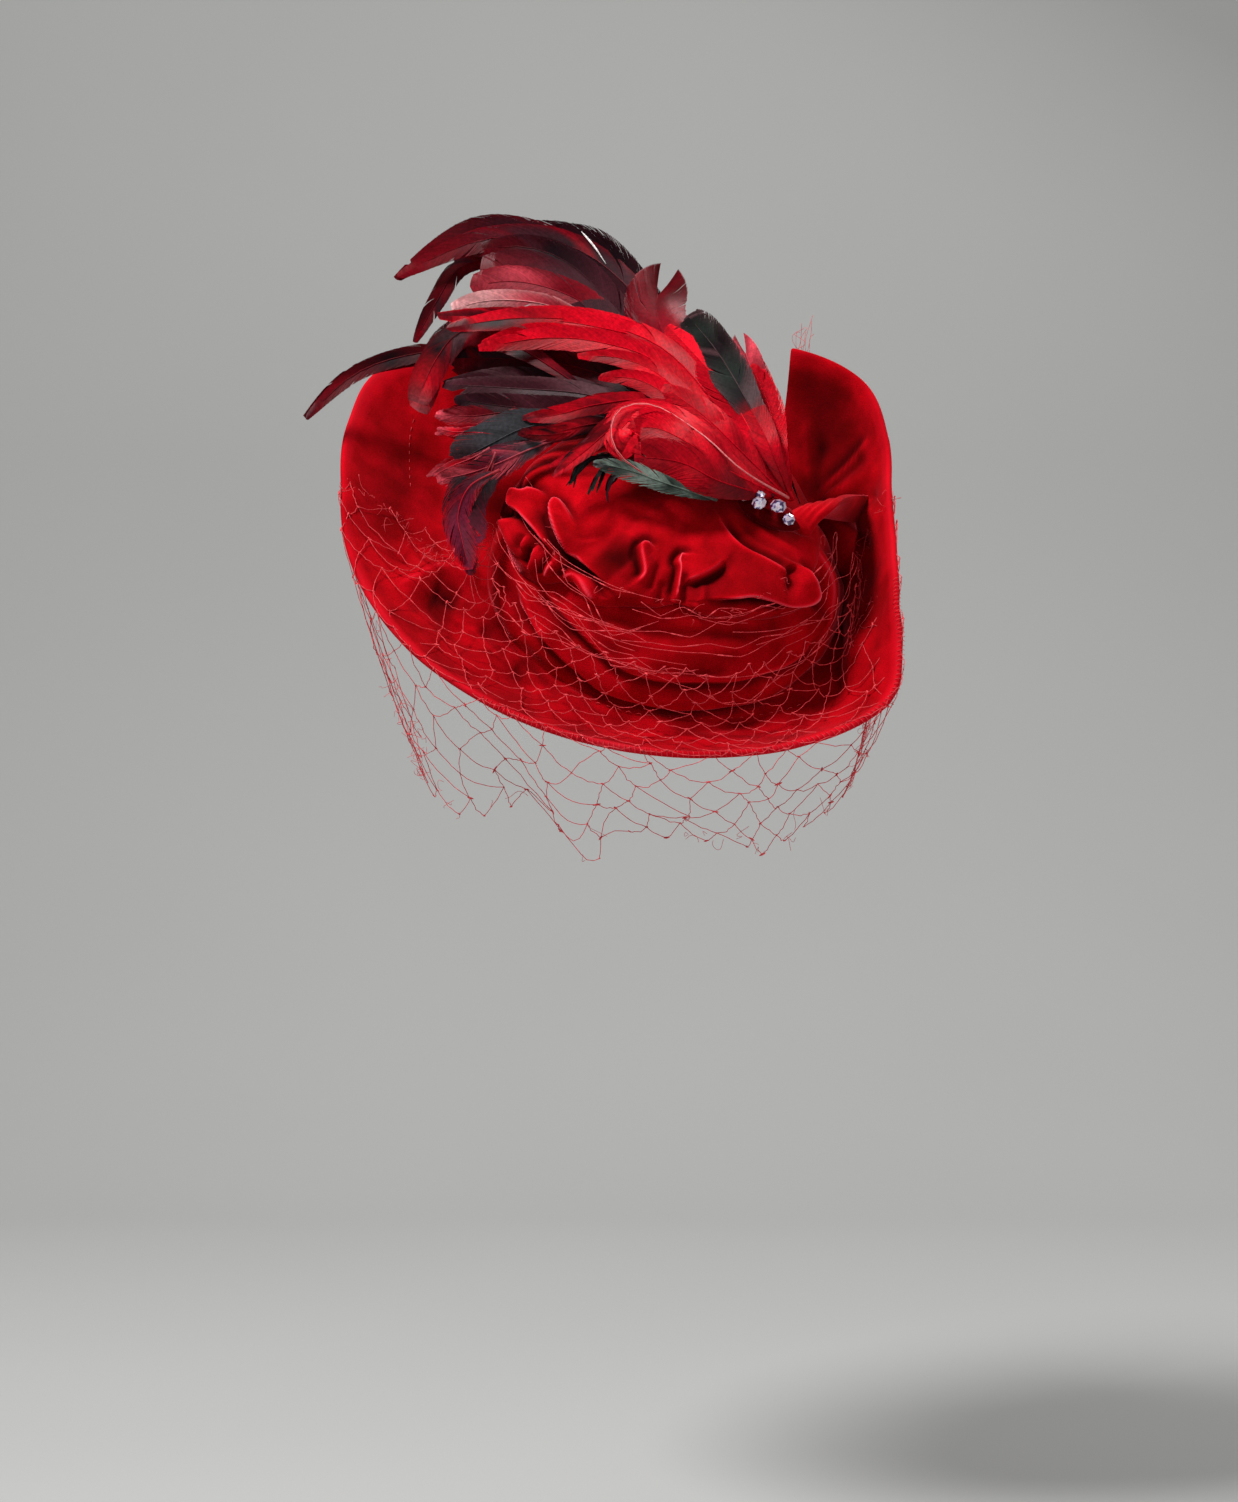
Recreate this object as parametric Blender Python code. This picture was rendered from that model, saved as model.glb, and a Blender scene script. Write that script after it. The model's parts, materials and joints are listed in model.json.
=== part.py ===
"""A draped velvet tilt hat with an upturned brim, a feather plume, cut crystals and a face veil.

Lengths are in metres, with +Z up and the wearer facing -Y. The hat has its own frame, with X to the
wearer's left, Y to the back and Z out through the crown. Its origin is the middle of the head opening,
and the empty head_seat tilts that frame forwards and to one side, as the hat is worn.
"""

import math

import bmesh
import bpy
from mathutils import Euler, Vector

# How the hat sits on the head
FORWARD_TILT_DEG = 45.0
SIDE_ROLL_DEG = 10.0
SEAM_GAP = 0.0004

# Crown: an oval drum with its velvet draped in swags round the wall
CROWN_WIDTH = 0.148
CROWN_DEPTH = 0.146
CROWN_HEIGHT = 0.044
CROWN_WALL = 0.0025
CROWN_COLUMNS = 50
SWAG_DEPTH = 0.0030
CROWN_PROFILE = (
    # share of the half width, share of the height
    (1.00, -0.03),
    (1.00, 0.07),
    (1.01, 0.20),
    (0.98, 0.36),
    (0.92, 0.54),
    (0.84, 0.70),
    (0.73, 0.84),
    (0.58, 0.94),
    (0.38, 0.99),
    (0.18, 1.00),
)
CROWN_SWAGS = (
    # start and end in degrees, share of the height at the ends and in the middle, share of the depth
    (196, 356, 0.42, 0.26, -0.9),
    (200, 350, 0.54, 0.42, 0.9),
    (206, 344, 0.66, 0.58, -0.7),
    (20, 170, 0.44, 0.34, -0.6),
)
SWAG_WIDTH = 0.09

# Crown drape: a gathered puff of velvet over the top of the crown
DRAPE_PUFF = 0.012
DRAPE_WALL = 0.0020
DRAPE_COLUMNS = 50
DRAPE_PROFILE = (
    # share of the reach, share of the lift
    (1.00, 0.00),
    (1.03, 0.28),
    (1.00, 0.55),
    (0.91, 0.76),
    (0.76, 0.90),
    (0.55, 0.97),
    (0.28, 1.00),
)
DRAPE_EDGE = (
    # degrees, reach as a share of the crown's half width, lift as a share of the puff
    (0, 0.78, 0.80),
    (24, 0.77, 0.80),
    (60, 0.80, 0.90),
    (100, 0.82, 0.70),
    (140, 0.82, 0.70),
    (170, 0.83, 0.95),
    (186, 0.86, 1.10),
    (204, 0.85, 1.15),
    (220, 0.84, 0.95),
    (230, 0.72, 0.45),
    (242, 0.80, 0.95),
    (256, 0.75, 0.70),
    (268, 0.71, 0.55),
    (278, 0.67, 0.15),
    (288, 0.73, 0.60),
    (302, 0.78, 0.75),
    (318, 0.83, 0.95),
    (334, 0.86, 1.10),
    (348, 0.82, 0.90),
)
DRAPE_CREASES = (
    # start and end in degrees, share of the reach at each, share of the depth
    (172, 232, 0.80, 0.94, -1.0),
    (180, 244, 0.62, 0.84, 0.5),
    (262, 280, 0.50, 0.96, -0.5),
    (284, 300, 0.92, 0.58, 0.6),
    (306, 340, 0.74, 0.88, -0.7),
)
CREASE_DEPTH = 0.0045
CREASE_WIDTH = 0.07

# Brim: a wide turned-up saucer, slit at the back beside its tall side flap
BRIM_REACH = 0.110
BRIM_RISE = 0.056
BRIM_WALL = 0.0030
BRIM_COLUMNS = 80
BRIM_BANDS = 6
BRIM_COLLAR = 0.05
BRIM_EDGE = (
    # degrees, share of the reach, share of the rise
    (0, 0.825, 0.82),
    (20, 0.830, 0.90),
    (38, 0.940, 0.96),
    (54, 1.060, 1.00),
    (72, 1.050, 0.97),
    (88, 1.040, 0.76),
    (112, 1.110, 0.60),
    (134, 1.310, 0.49),
    (148, 1.460, 0.43),
    (161, 1.385, 0.40),
    (176, 1.275, 0.35),
    (195, 1.195, 0.28),
    (215, 1.110, 0.23),
    (238, 1.030, 0.21),
    (262, 0.985, 0.21),
    (284, 0.975, 0.22),
    (304, 1.030, 0.31),
    (317, 1.080, 0.43),
    (325, 1.085, 0.53),
    (333, 1.000, 0.67),
    (343, 0.895, 0.76),
)
SLIT_FOOT_DEG = 61.0
SLIT_FOOT_WIDTH_DEG = 3.0
FLAP_END_DEG = 71.5
BACK_END_DEG = 84.0
BRIM_FOLDS = (
    # degrees, share of the way out, share of the fold height, half width in degrees, half length in share
    (198, 0.42, 0.9, 8, 0.20),
    (212, 0.34, -1.0, 7, 0.20),
    (226, 0.36, 0.6, 7, 0.22),
    (238, 0.30, -0.6, 6, 0.20),
    (250, 0.34, 0.6, 7, 0.22),
    (264, 0.30, -0.5, 6, 0.20),
    (282, 0.32, 0.5, 8, 0.22),
    (300, 0.36, -0.5, 7, 0.22),
    (352, 0.45, 0.5, 8, 0.25),
    (6, 0.50, -0.6, 6, 0.25),
    (18, 0.55, 0.7, 6, 0.25),
    (30, 0.55, -0.9, 6, 0.25),
    (41, 0.50, 0.8, 6, 0.25),
    (150, 0.45, -0.6, 12, 0.20),
)
BRIM_FOLD_HEIGHT = 0.0032

# Plume: feathers bound into one oval head that sits on the drape
PLUME_SPAN = 0.200
PLUME_HEAD_AT = (0.50, -0.10)
PLUME_HEAD_LENGTH = 0.030
PLUME_HEAD_WIDTH = 0.014
PLUME_HEAD_HEIGHT = 0.009
PLUME_HEAD_TURN_DEG = -25.0
QUILL_THICKNESS = 0.0018
FEATHER_SECTIONS = 8
FEATHERS = (
    # name, root along the head, width and the three points that it passes, as shares of the span, turn
    ("crest_top", 0.2, 0.17, (-0.23, 0.45, 0.08), (-0.57, 0.68, 0.08), (-0.90, 0.55, -0.02), 10),
    ("crest_mid", 0.3, 0.17, (-0.25, 0.44, 0.05), (-0.49, 0.67, 0.04), (-0.84, 0.65, -0.02), -20),
    ("crest_pale", 0.1, 0.15, (-0.26, 0.39, 0.06), (-0.52, 0.57, 0.02), (-0.80, 0.56, -0.04), 20),
    ("crest_fall", 0.0, 0.13, (-0.31, 0.42, 0.04), (-0.66, 0.56, 0.01), (-0.85, 0.41, -0.06), -10),
    ("side_long", -0.1, 0.07, (-0.32, 0.33, 0.04), (-0.72, 0.37, 0.00), (-0.98, 0.19, -0.12), 0),
    ("side_short", -0.1, 0.09, (-0.34, 0.32, 0.06), (-0.68, 0.36, 0.04), (-0.78, 0.22, -0.05), 15),
    ("red_main", 0.0, 0.18, (-0.21, 0.29, 0.08), (-0.46, 0.39, 0.09), (-0.77, 0.35, 0.01), -5),
    ("dark_upper", -0.2, 0.15, (-0.22, 0.25, 0.05), (-0.45, 0.34, 0.03), (-0.77, 0.34, -0.05), 15),
    ("dark_lower", -0.3, 0.15, (-0.21, 0.16, 0.06), (-0.43, 0.24, 0.03), (-0.74, 0.28, -0.05), -15),
    ("dark_left", -0.4, 0.12, (-0.28, 0.16, 0.06), (-0.51, 0.16, 0.03), (-0.72, 0.19, -0.07), 10),
    ("red_mid", -0.5, 0.10, (-0.17, 0.12, 0.07), (-0.33, 0.20, 0.08), (-0.53, 0.17, 0.03), 0),
    ("red_curl", -0.6, 0.09, (-0.22, 0.10, 0.09), (-0.34, 0.13, 0.11), (-0.37, 0.05, 0.06), 0),
    ("red_low", -0.7, 0.05, (-0.21, 0.08, 0.06), (-0.35, 0.06, 0.05), (-0.48, 0.00, 0.00), 0),
    ("green_low", -0.8, 0.07, (-0.14, 0.00, 0.05), (-0.28, 0.00, 0.05), (-0.44, 0.02, 0.02), 0),
    ("left_hang", -0.4, 0.10, (-0.32, 0.13, 0.06), (-0.57, 0.10, -0.01), (-0.61, -0.10, -0.14), 0),
    ("fan_notched", 0.5, 0.14, (-0.11, 0.18, 0.07), (-0.23, 0.37, 0.08), (-0.32, 0.56, 0.15), -15),
    ("fan_green", 0.6, 0.12, (-0.07, 0.20, 0.07), (-0.16, 0.36, 0.07), (-0.24, 0.47, 0.10), 20),
    ("fan_red", 0.7, 0.10, (-0.05, 0.18, 0.07), (-0.09, 0.32, 0.08), (-0.15, 0.44, 0.11), 0),
    ("red_body", 0.4, 0.16, (-0.09, 0.13, 0.06), (-0.21, 0.25, 0.09), (-0.36, 0.36, 0.11), -10),
)

# Crystals: cut stones along the front of the plume's head
CRYSTAL_SIDES = 8
CRYSTALS = (
    # place along the head, place across it, diameter
    (-0.76, -0.20, 0.0054),
    (-0.40, 0.52, 0.0042),
    (-0.22, -0.50, 0.0060),
    (0.34, 0.00, 0.0066),
    (0.80, -0.30, 0.0050),
)
CRYSTAL_PROFILE = (
    # share of the radius, share of the diameter up from the foot
    (0.34, 0.00),
    (1.00, 0.44),
    (1.00, 0.52),
    (0.52, 0.74),
)

# Side knot: a ribbed velvet tab that ties the flap to the plume's head
KNOT_WIDTH = 0.018
KNOT_THICKNESS = 0.007
KNOT_FLAP_DEG = 31.0
KNOT_FLAP_SHARE = 0.66
KNOT_FLAP_GAP = 0.0022
KNOT_SECTIONS = 9
KNOT_RIBS = 3
KNOT_RIB_DEPTH = 0.14

# Veil: a coarse net from the crown, over the edge of the brim and down in front of the face
VEIL_STRAND = 0.0013
VEIL_THICKNESS = 0.0012
VEIL_COLUMNS = 20
VEIL_TOP_SHARE = 0.60
VEIL_TOP_GAP = 0.0024
VEIL_STANDOFF = 0.0056
VEIL_STEEP_SHARE = 0.6
VEIL_SAG = 0.006
VEIL_BELLY = 0.007
VEIL_ROWS = (
    # start and end in degrees, share of the way from crown to edge, share of the way from edge to hem
    (196, 358, 0.00, 0.00),
    (188, 366, 0.36, 0.00),
    (181, 374, 0.70, 0.00),
    (175, 381, 1.00, 0.00),
    (175, 381, 1.00, 0.34),
    (176, 380, 1.00, 0.68),
    (177, 379, 1.00, 1.00),
)
VEIL_SPAN = 0.100
VEIL_HEM = (
    # degrees, then the hem's place across, back and up from the head seat, as shares of the span
    (175, -0.92, 0.46, -0.62),
    (200, -0.92, 0.14, -0.80),
    (225, -0.76, -0.22, -1.04),
    (245, -0.46, -0.50, -1.12),
    (265, -0.12, -0.62, -0.99),
    (285, 0.22, -0.60, -0.98),
    (310, 0.52, -0.46, -1.05),
    (340, 0.74, -0.14, -0.92),
    (362, 0.82, 0.16, -0.76),
    (381, 0.84, 0.42, -0.62),
)

VELVET_RED = (0.52, 0.004, 0.012)
FEATHER_RED = (0.34, 0.006, 0.016)
NET_RED = (0.55, 0.02, 0.03)
CRYSTAL_CLEAR = (0.86, 0.80, 0.90)


def clear_scene():
    for obj in list(bpy.data.objects):
        bpy.data.objects.remove(obj)


def material(name, colour, roughness, metallic=0.0):
    """A Principled material of one colour."""
    made = bpy.data.materials.new(name)
    made.use_nodes = True
    shader = made.node_tree.nodes["Principled BSDF"]
    shader.inputs["Base Color"].default_value = (*colour, 1.0)
    shader.inputs["Roughness"].default_value = roughness
    shader.inputs["Metallic"].default_value = metallic
    return made


def cubic(before, low, high, after, share):
    """A Catmull-Rom value between low and high."""
    return 0.5 * (
        2 * low
        + (high - before) * share
        + (2 * before - 5 * low + 4 * high - after) * share**2
        + (3 * low - before - 3 * high + after) * share**3
    )


def around(rows, degrees, column):
    """A column of a table that goes once round the hat, read smoothly at an angle."""
    degrees %= 360
    count = len(rows)
    place = max(i for i in range(count) if rows[i][0] <= degrees)
    start = rows[place][0]
    end = rows[place + 1][0] if place + 1 < count else rows[0][0] + 360
    values = [rows[(place + step) % count][column] for step in (-1, 0, 1, 2)]
    return cubic(*values, (degrees - start) / (end - start))


def along(rows, value, column):
    """A column of a table read smoothly at a value of its first column, held at both ends."""
    last = len(rows) - 1
    value = min(max(value, rows[0][0]), rows[last][0])
    place = min(max(i for i in range(last + 1) if rows[i][0] <= value), last - 1)
    share = (value - rows[place][0]) / (rows[place + 1][0] - rows[place][0])
    values = [rows[min(max(place + step, 0), last)][column] for step in (-1, 0, 1, 2)]
    return cubic(*values, share)


def bell(distance, width):
    return math.exp(-((distance / width) ** 2))


def turn_from(degrees, centre):
    """The signed angle from centre to degrees."""
    return (degrees - centre + 180) % 360 - 180


def fade(share):
    """0 at both ends of a stretch and 1 over its middle."""
    if not 0 < share < 1:
        return 0.0
    return min(1.0, 4 * share, 4 * (1 - share))


def outwards(degrees):
    angle = math.radians(degrees)
    return Vector((math.cos(angle), math.sin(angle), 0.0))


def oval(degrees):
    """The crown's half width in a direction."""
    way = outwards(degrees)
    return 1 / math.hypot(way.x / (CROWN_WIDTH / 2), way.y / (CROWN_DEPTH / 2))


def swag(degrees, height):
    """How far the crown's wall stands out in its folds, in metres."""
    total = 0.0
    for start, end, at_ends, at_middle, depth in CROWN_SWAGS:
        share = ((degrees - start) % 360) / (end - start)
        centre = at_middle + (at_ends - at_middle) * (2 * share - 1) ** 2
        total += depth * fade(share) * bell(height - centre, SWAG_WIDTH)
    return SWAG_DEPTH * total


def crown_point(degrees, reach, height):
    """A point of the crown's outside."""
    way = outwards(degrees)
    point = way * (reach * oval(degrees) + swag(degrees, height))
    point.z = height * CROWN_HEIGHT
    return point


def crown_height(reach):
    """The height share of the crown's plain outside at a reach share."""
    rows = CROWN_PROFILE[2:]
    if reach <= rows[-1][0]:
        return rows[-1][1]
    for (outer, low), (inner, high) in zip(rows, rows[1:]):
        if inner <= reach <= outer:
            return low + (high - low) * (outer - reach) / (outer - inner)
    return rows[0][1]


def crown_reach(height):
    """The reach share of the crown's plain outside at a height share."""
    for (outer, low), (inner, high) in zip(CROWN_PROFILE, CROWN_PROFILE[1:]):
        if low <= height <= high:
            return outer + (inner - outer) * (height - low) / (high - low)
    return CROWN_PROFILE[-1][0]


def crease(degrees, share):
    """How far the drape's surface rises at its creases, in metres."""
    total = 0.0
    for start, end, at_start, at_end, depth in DRAPE_CREASES:
        along_it = ((degrees - start) % 360) / (end - start)
        centre = at_start + (at_end - at_start) * along_it
        total += depth * fade(along_it) * bell(share - centre, CREASE_WIDTH)
    return CREASE_DEPTH * total


def drape_point(degrees, share, lift):
    """A point of the drape's outside, from its rim on the crown's shoulder to its top."""
    reach = around(DRAPE_EDGE, degrees, 1)
    seat = reach - DRAPE_WALL / oval(degrees)
    rim = crown_height(seat) * CROWN_HEIGHT + SEAM_GAP
    top = CROWN_HEIGHT + DRAPE_PUFF * around(DRAPE_EDGE, degrees, 2) * share
    top += DRAPE_PUFF * (1 - share)
    point = outwards(degrees) * reach * share * oval(degrees)
    point.z = rim + (top - rim) * lift + crease(degrees, share) * lift
    return point


def drape_top(degrees, share):
    """The height of the drape's outside at a share of its reach."""
    rows = sorted((reach, lift) for reach, lift in DRAPE_PROFILE[2:])
    return drape_point(degrees, share, along(rows, share, 1)).z


def brim_profile(degrees):
    """The brim's inner and outer reach, its rise, and the power of its upward curl."""
    inner = oval(degrees) + SEAM_GAP
    outer = BRIM_REACH * around(BRIM_EDGE, degrees, 1)
    rise = BRIM_RISE * around(BRIM_EDGE, degrees, 2)
    return inner, outer, rise, 1.2 + 0.9 / (1 + rise / (outer - inner))


def brim_point(degrees, share):
    """A point of the brim's middle surface, from the crown at 0 to the edge at 1."""
    inner, outer, rise, curl = brim_profile(degrees)
    point = outwards(degrees) * (inner + (outer - inner) * share)
    turned_up = max(0.0, (share - BRIM_COLLAR) / (1 - BRIM_COLLAR))
    point.z = rise * turned_up**curl
    for centre, at, height, width, length in BRIM_FOLDS:
        fold = bell(turn_from(degrees, centre), width) * bell(share - at, length)
        point.z += BRIM_FOLD_HEIGHT * height * fold * min(1.0, 6 * turned_up)
    return point


def brim_reach(point):
    """The reach of the brim's middle surface under a point's direction and at its height."""
    inner, outer, rise, curl = brim_profile(math.degrees(math.atan2(point.y, point.x)))
    turned_up = min(1.0, max(0.0, point.z) / rise) ** (1 / curl)
    return inner + (outer - inner) * (BRIM_COLLAR + (1 - BRIM_COLLAR) * turned_up)


def brim_degrees(column, share):
    """The angle of a brim column, from the flap's end round the front to the slit's other side."""
    foot_flap = SLIT_FOOT_DEG - SLIT_FOOT_WIDTH_DEG / 2
    foot_back = SLIT_FOOT_DEG + SLIT_FOOT_WIDTH_DEG / 2
    flap = foot_flap + (FLAP_END_DEG - foot_flap) * share
    back = foot_back + (BACK_END_DEG - foot_back) * share
    return flap - (360 - back + flap) * column / (BRIM_COLUMNS - 1)


def tidy_faces(mesh, triangles=False):
    """Turns all faces outwards, and cuts them into triangles where a union needs flat ones."""
    made = bmesh.new()
    made.from_mesh(mesh)
    if triangles:
        bmesh.ops.triangulate(made, faces=made.faces)
    bmesh.ops.recalc_face_normals(made, faces=made.faces)
    made.to_mesh(mesh)
    made.free()


def new_object(name, points, faces, surface):
    mesh = bpy.data.meshes.new(name)
    mesh.from_pydata(points, [], faces)
    tidy_faces(mesh)
    obj = bpy.data.objects.new(name, mesh)
    bpy.context.scene.collection.objects.link(obj)
    mesh.materials.append(surface)
    mesh.shade_smooth()
    return obj


def thicken(obj, wall, offset):
    """Gives a sheet its wall. An offset of -1 grows it under its face, and 0 to both sides."""
    solid = obj.modifiers.new("wall", "SOLIDIFY")
    solid.thickness = wall
    solid.offset = offset
    return obj


def ring_faces(rows, columns):
    """The quads between closed rows of points."""
    return [
        (
            row * columns + column,
            row * columns + (column + 1) % columns,
            (row + 1) * columns + (column + 1) % columns,
            (row + 1) * columns + column,
        )
        for row in range(rows - 1)
        for column in range(columns)
    ]


def dome(name, rows, columns, top, surface):
    """A sheet of closed rows that ends in one point at its top."""
    points = [point for row in rows for point in row] + [top]
    faces = ring_faces(len(rows), columns)
    last = (len(rows) - 1) * columns
    faces += [(last + i, last + (i + 1) % columns, len(points) - 1) for i in range(columns)]
    return new_object(name, points, faces, surface)


def make_crown(surface):
    turns = [360 * i / CROWN_COLUMNS for i in range(CROWN_COLUMNS)]
    rows = [[crown_point(turn, *row) for turn in turns] for row in CROWN_PROFILE]
    top = Vector((0, 0, CROWN_HEIGHT))
    return thicken(dome("crown", rows, CROWN_COLUMNS, top, surface), CROWN_WALL, -1)


def make_drape(surface):
    turns = [360 * i / DRAPE_COLUMNS for i in range(DRAPE_COLUMNS)]
    rows = [[drape_point(turn, *row) for turn in turns] for row in DRAPE_PROFILE]
    top = Vector((0, 0, CROWN_HEIGHT + DRAPE_PUFF))
    return thicken(dome("crown_drape", rows, DRAPE_COLUMNS, top, surface), DRAPE_WALL, -1)


def make_brim(surface):
    """The brim's sheet is a flat closed collar next to the crown and is slit at the back beyond it."""
    shares = [0.0, BRIM_COLLAR] + [band / BRIM_BANDS for band in range(1, BRIM_BANDS + 1)]
    points = [
        brim_point(brim_degrees(column, share), share)
        for share in shares
        for column in range(BRIM_COLUMNS)
    ]
    faces = [
        face
        for index, face in enumerate(ring_faces(len(shares), BRIM_COLUMNS))
        if index < BRIM_COLUMNS or index % BRIM_COLUMNS != BRIM_COLUMNS - 1
    ]
    return thicken(new_object("brim", points, faces, surface), BRIM_WALL, 0)


def plume_head_place():
    """The middle of the plume's head, resting on the drape, and the directions along and across it."""
    centre = Vector((PLUME_HEAD_AT[0] * CROWN_WIDTH / 2, PLUME_HEAD_AT[1] * CROWN_DEPTH / 2, 0.0))
    degrees = math.degrees(math.atan2(centre.y, centre.x))
    share = centre.length / (oval(degrees) * around(DRAPE_EDGE, degrees, 1))
    highest = max(drape_top(degrees + step, share) for step in range(-9, 10, 3))
    centre.z = highest + SEAM_GAP + PLUME_HEAD_HEIGHT / 2
    lengthwise = outwards(PLUME_HEAD_TURN_DEG)
    return centre, lengthwise, Vector((-lengthwise.y, lengthwise.x, 0.0))


def plume_head(surface):
    centre, lengthwise, crosswise = plume_head_place()
    made = bmesh.new()
    bmesh.ops.create_uvsphere(made, u_segments=14, v_segments=8, radius=0.5)
    for vertex in made.verts:
        x, y, z = vertex.co
        vertex.co = (
            centre
            + lengthwise * (x * PLUME_HEAD_LENGTH)
            + crosswise * (y * PLUME_HEAD_WIDTH)
            + Vector((0, 0, z * PLUME_HEAD_HEIGHT))
        )
    mesh = bpy.data.meshes.new("feather_plume")
    made.to_mesh(mesh)
    made.free()
    tidy_faces(mesh, triangles=True)
    mesh.materials.append(surface)
    obj = bpy.data.objects.new("feather_plume", mesh)
    bpy.context.scene.collection.objects.link(obj)
    return obj


def spline(points, share):
    """A point of a smooth line through points, and the line's direction there."""
    last = len(points) - 1
    place = min(int(share * last), last - 1)
    first = points[place - 1] if place else 2 * points[0] - points[1]
    after = points[place + 2] if place + 2 <= last else 2 * points[last] - points[last - 1]
    local = share * last - place
    here = cubic(first, points[place], points[place + 1], after, local)
    step = 0.01
    ahead = cubic(first, points[place], points[place + 1], after, local + step)
    return here, (ahead - here).normalized()


def feather_width(share):
    """A feather's width at a share of its length: slim at the root, broad, and drawn in at the tip."""
    return 0.16 + 0.84 * math.sin(math.pi * min(1.0, share * 1.05) ** 0.85) ** 0.7 * (share < 0.95)


def feather(row, head, surface):
    """One feather as a thin closed lens along its line, for the plume's union."""
    name, root, width, *route, turn = row
    centre, lengthwise, _ = head
    start = centre + lengthwise * (root * 0.35 * PLUME_HEAD_LENGTH)
    points = [start] + [centre + Vector(place) * PLUME_SPAN for place in route]
    facing = Vector((0.0, -1.0, 1.0)).normalized()
    ring = []
    for section in range(FEATHER_SECTIONS):
        share = section / (FEATHER_SECTIONS - 1)
        here, ahead = spline(points, share)
        sideways = ahead.cross(facing)
        if sideways.length < 0.2:
            sideways = ahead.cross(Vector((1.0, 0.0, 0.0)))
        sideways.normalize()
        raised = sideways.cross(ahead).normalized()
        tilt = math.radians(turn) * share
        side = sideways * math.cos(tilt) + raised * math.sin(tilt)
        over = raised * math.cos(tilt) - sideways * math.sin(tilt)
        half = feather_width(share) * width * PLUME_SPAN / 2
        rib = QUILL_THICKNESS / 2 * (1.0 - 0.4 * share)
        ring += [here + side * half, here + over * rib, here - side * half, here - over * rib]
    faces = ring_faces(FEATHER_SECTIONS, 4)
    last = 4 * (FEATHER_SECTIONS - 1)
    faces += [(3, 2, 1, 0), (last, last + 1, last + 2, last + 3)]
    lock = new_object(name, ring, faces, surface)
    tidy_faces(lock.data, triangles=True)
    return lock


def shells(mesh):
    """The closed shells of a mesh, each as a list of its faces."""
    waiting = set(mesh.faces)
    found = []
    while waiting:
        stack = [waiting.pop()]
        shell = []
        while stack:
            face = stack.pop()
            shell.append(face)
            for edge in face.edges:
                for other in edge.link_faces:
                    if other in waiting:
                        waiting.remove(other)
                        stack.append(other)
        found.append(shell)
    return found


def signed_volume(shell):
    """The volume inside a shell, negative where it bounds a pocket."""
    total = 0.0
    for face in shell:
        first = face.verts[0].co
        for low, high in zip(face.verts[1:], face.verts[2:]):
            total += first.dot(low.co.cross(high.co)) / 6
    return total


def fill_pockets(obj):
    """Takes the union's result as the object's mesh, without the sealed pockets between feathers."""
    bpy.context.view_layer.update()
    graph = bpy.context.evaluated_depsgraph_get()
    mesh = bpy.data.meshes.new_from_object(obj.evaluated_get(graph))
    made = bmesh.new()
    made.from_mesh(mesh)
    pockets = [face for shell in shells(made) if signed_volume(shell) < 0 for face in shell]
    bmesh.ops.delete(made, geom=pockets, context="FACES")
    made.to_mesh(mesh)
    made.free()
    obj.modifiers.clear()
    obj.data = mesh


def make_plume(surface):
    """All feathers fused to the head, as one body."""
    head = plume_head_place()
    plume = plume_head(surface)
    bunch = bpy.data.collections.new("plume_guides")
    bpy.context.scene.collection.children.link(bunch)
    for row in FEATHERS:
        lock = feather(row, head, surface)
        bpy.context.scene.collection.objects.unlink(lock)
        bunch.objects.link(lock)
    union = plume.modifiers.new("union", "BOOLEAN")
    union.operation = "UNION"
    union.operand_type = "COLLECTION"
    union.collection = bunch
    union.solver = "EXACT"
    fill_pockets(plume)
    for guide in list(bunch.objects):
        bpy.data.objects.remove(guide)
    return plume


def make_crystal(index, row, surface):
    """A cut stone with a table, eight crown facets, a girdle and eight pavilion facets."""
    lengthways, sideways, size = row
    centre, lengthwise, crosswise = plume_head_place()
    foot = Vector(
        (
            lengthways * 0.42 * PLUME_HEAD_LENGTH,
            (sideways * 0.5 - 0.35) * PLUME_HEAD_WIDTH / 2,
            0.0,
        )
    )
    left = 1 - (2 * foot.x / PLUME_HEAD_LENGTH) ** 2 - (2 * foot.y / PLUME_HEAD_WIDTH) ** 2
    foot.z = PLUME_HEAD_HEIGHT / 2 * math.sqrt(max(left, 0.0))
    normal = Vector(
        (foot.x / PLUME_HEAD_LENGTH**2, foot.y / PLUME_HEAD_WIDTH**2, foot.z / PLUME_HEAD_HEIGHT**2)
    ).normalized()
    axis = lengthwise * normal.x + crosswise * normal.y + Vector((0, 0, normal.z))
    seat = centre + lengthwise * foot.x + crosswise * foot.y + Vector((0, 0, foot.z + SEAM_GAP))
    spread = axis.to_track_quat("Z", "Y")
    rows = []
    for reach, height in CRYSTAL_PROFILE:
        for side in range(CRYSTAL_SIDES):
            around_it = outwards(360 * side / CRYSTAL_SIDES) * (reach * size / 2)
            rows.append(seat + spread @ (around_it + Vector((0, 0, height * size))))
    faces = ring_faces(len(CRYSTAL_PROFILE), CRYSTAL_SIDES)
    last = (len(CRYSTAL_PROFILE) - 1) * CRYSTAL_SIDES
    faces += [tuple(range(CRYSTAL_SIDES - 1, -1, -1)), tuple(range(last, last + CRYSTAL_SIDES))]
    obj = new_object(f"crystal_{index + 1}", rows, faces, surface)
    obj.data.shade_flat()
    return obj


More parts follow.
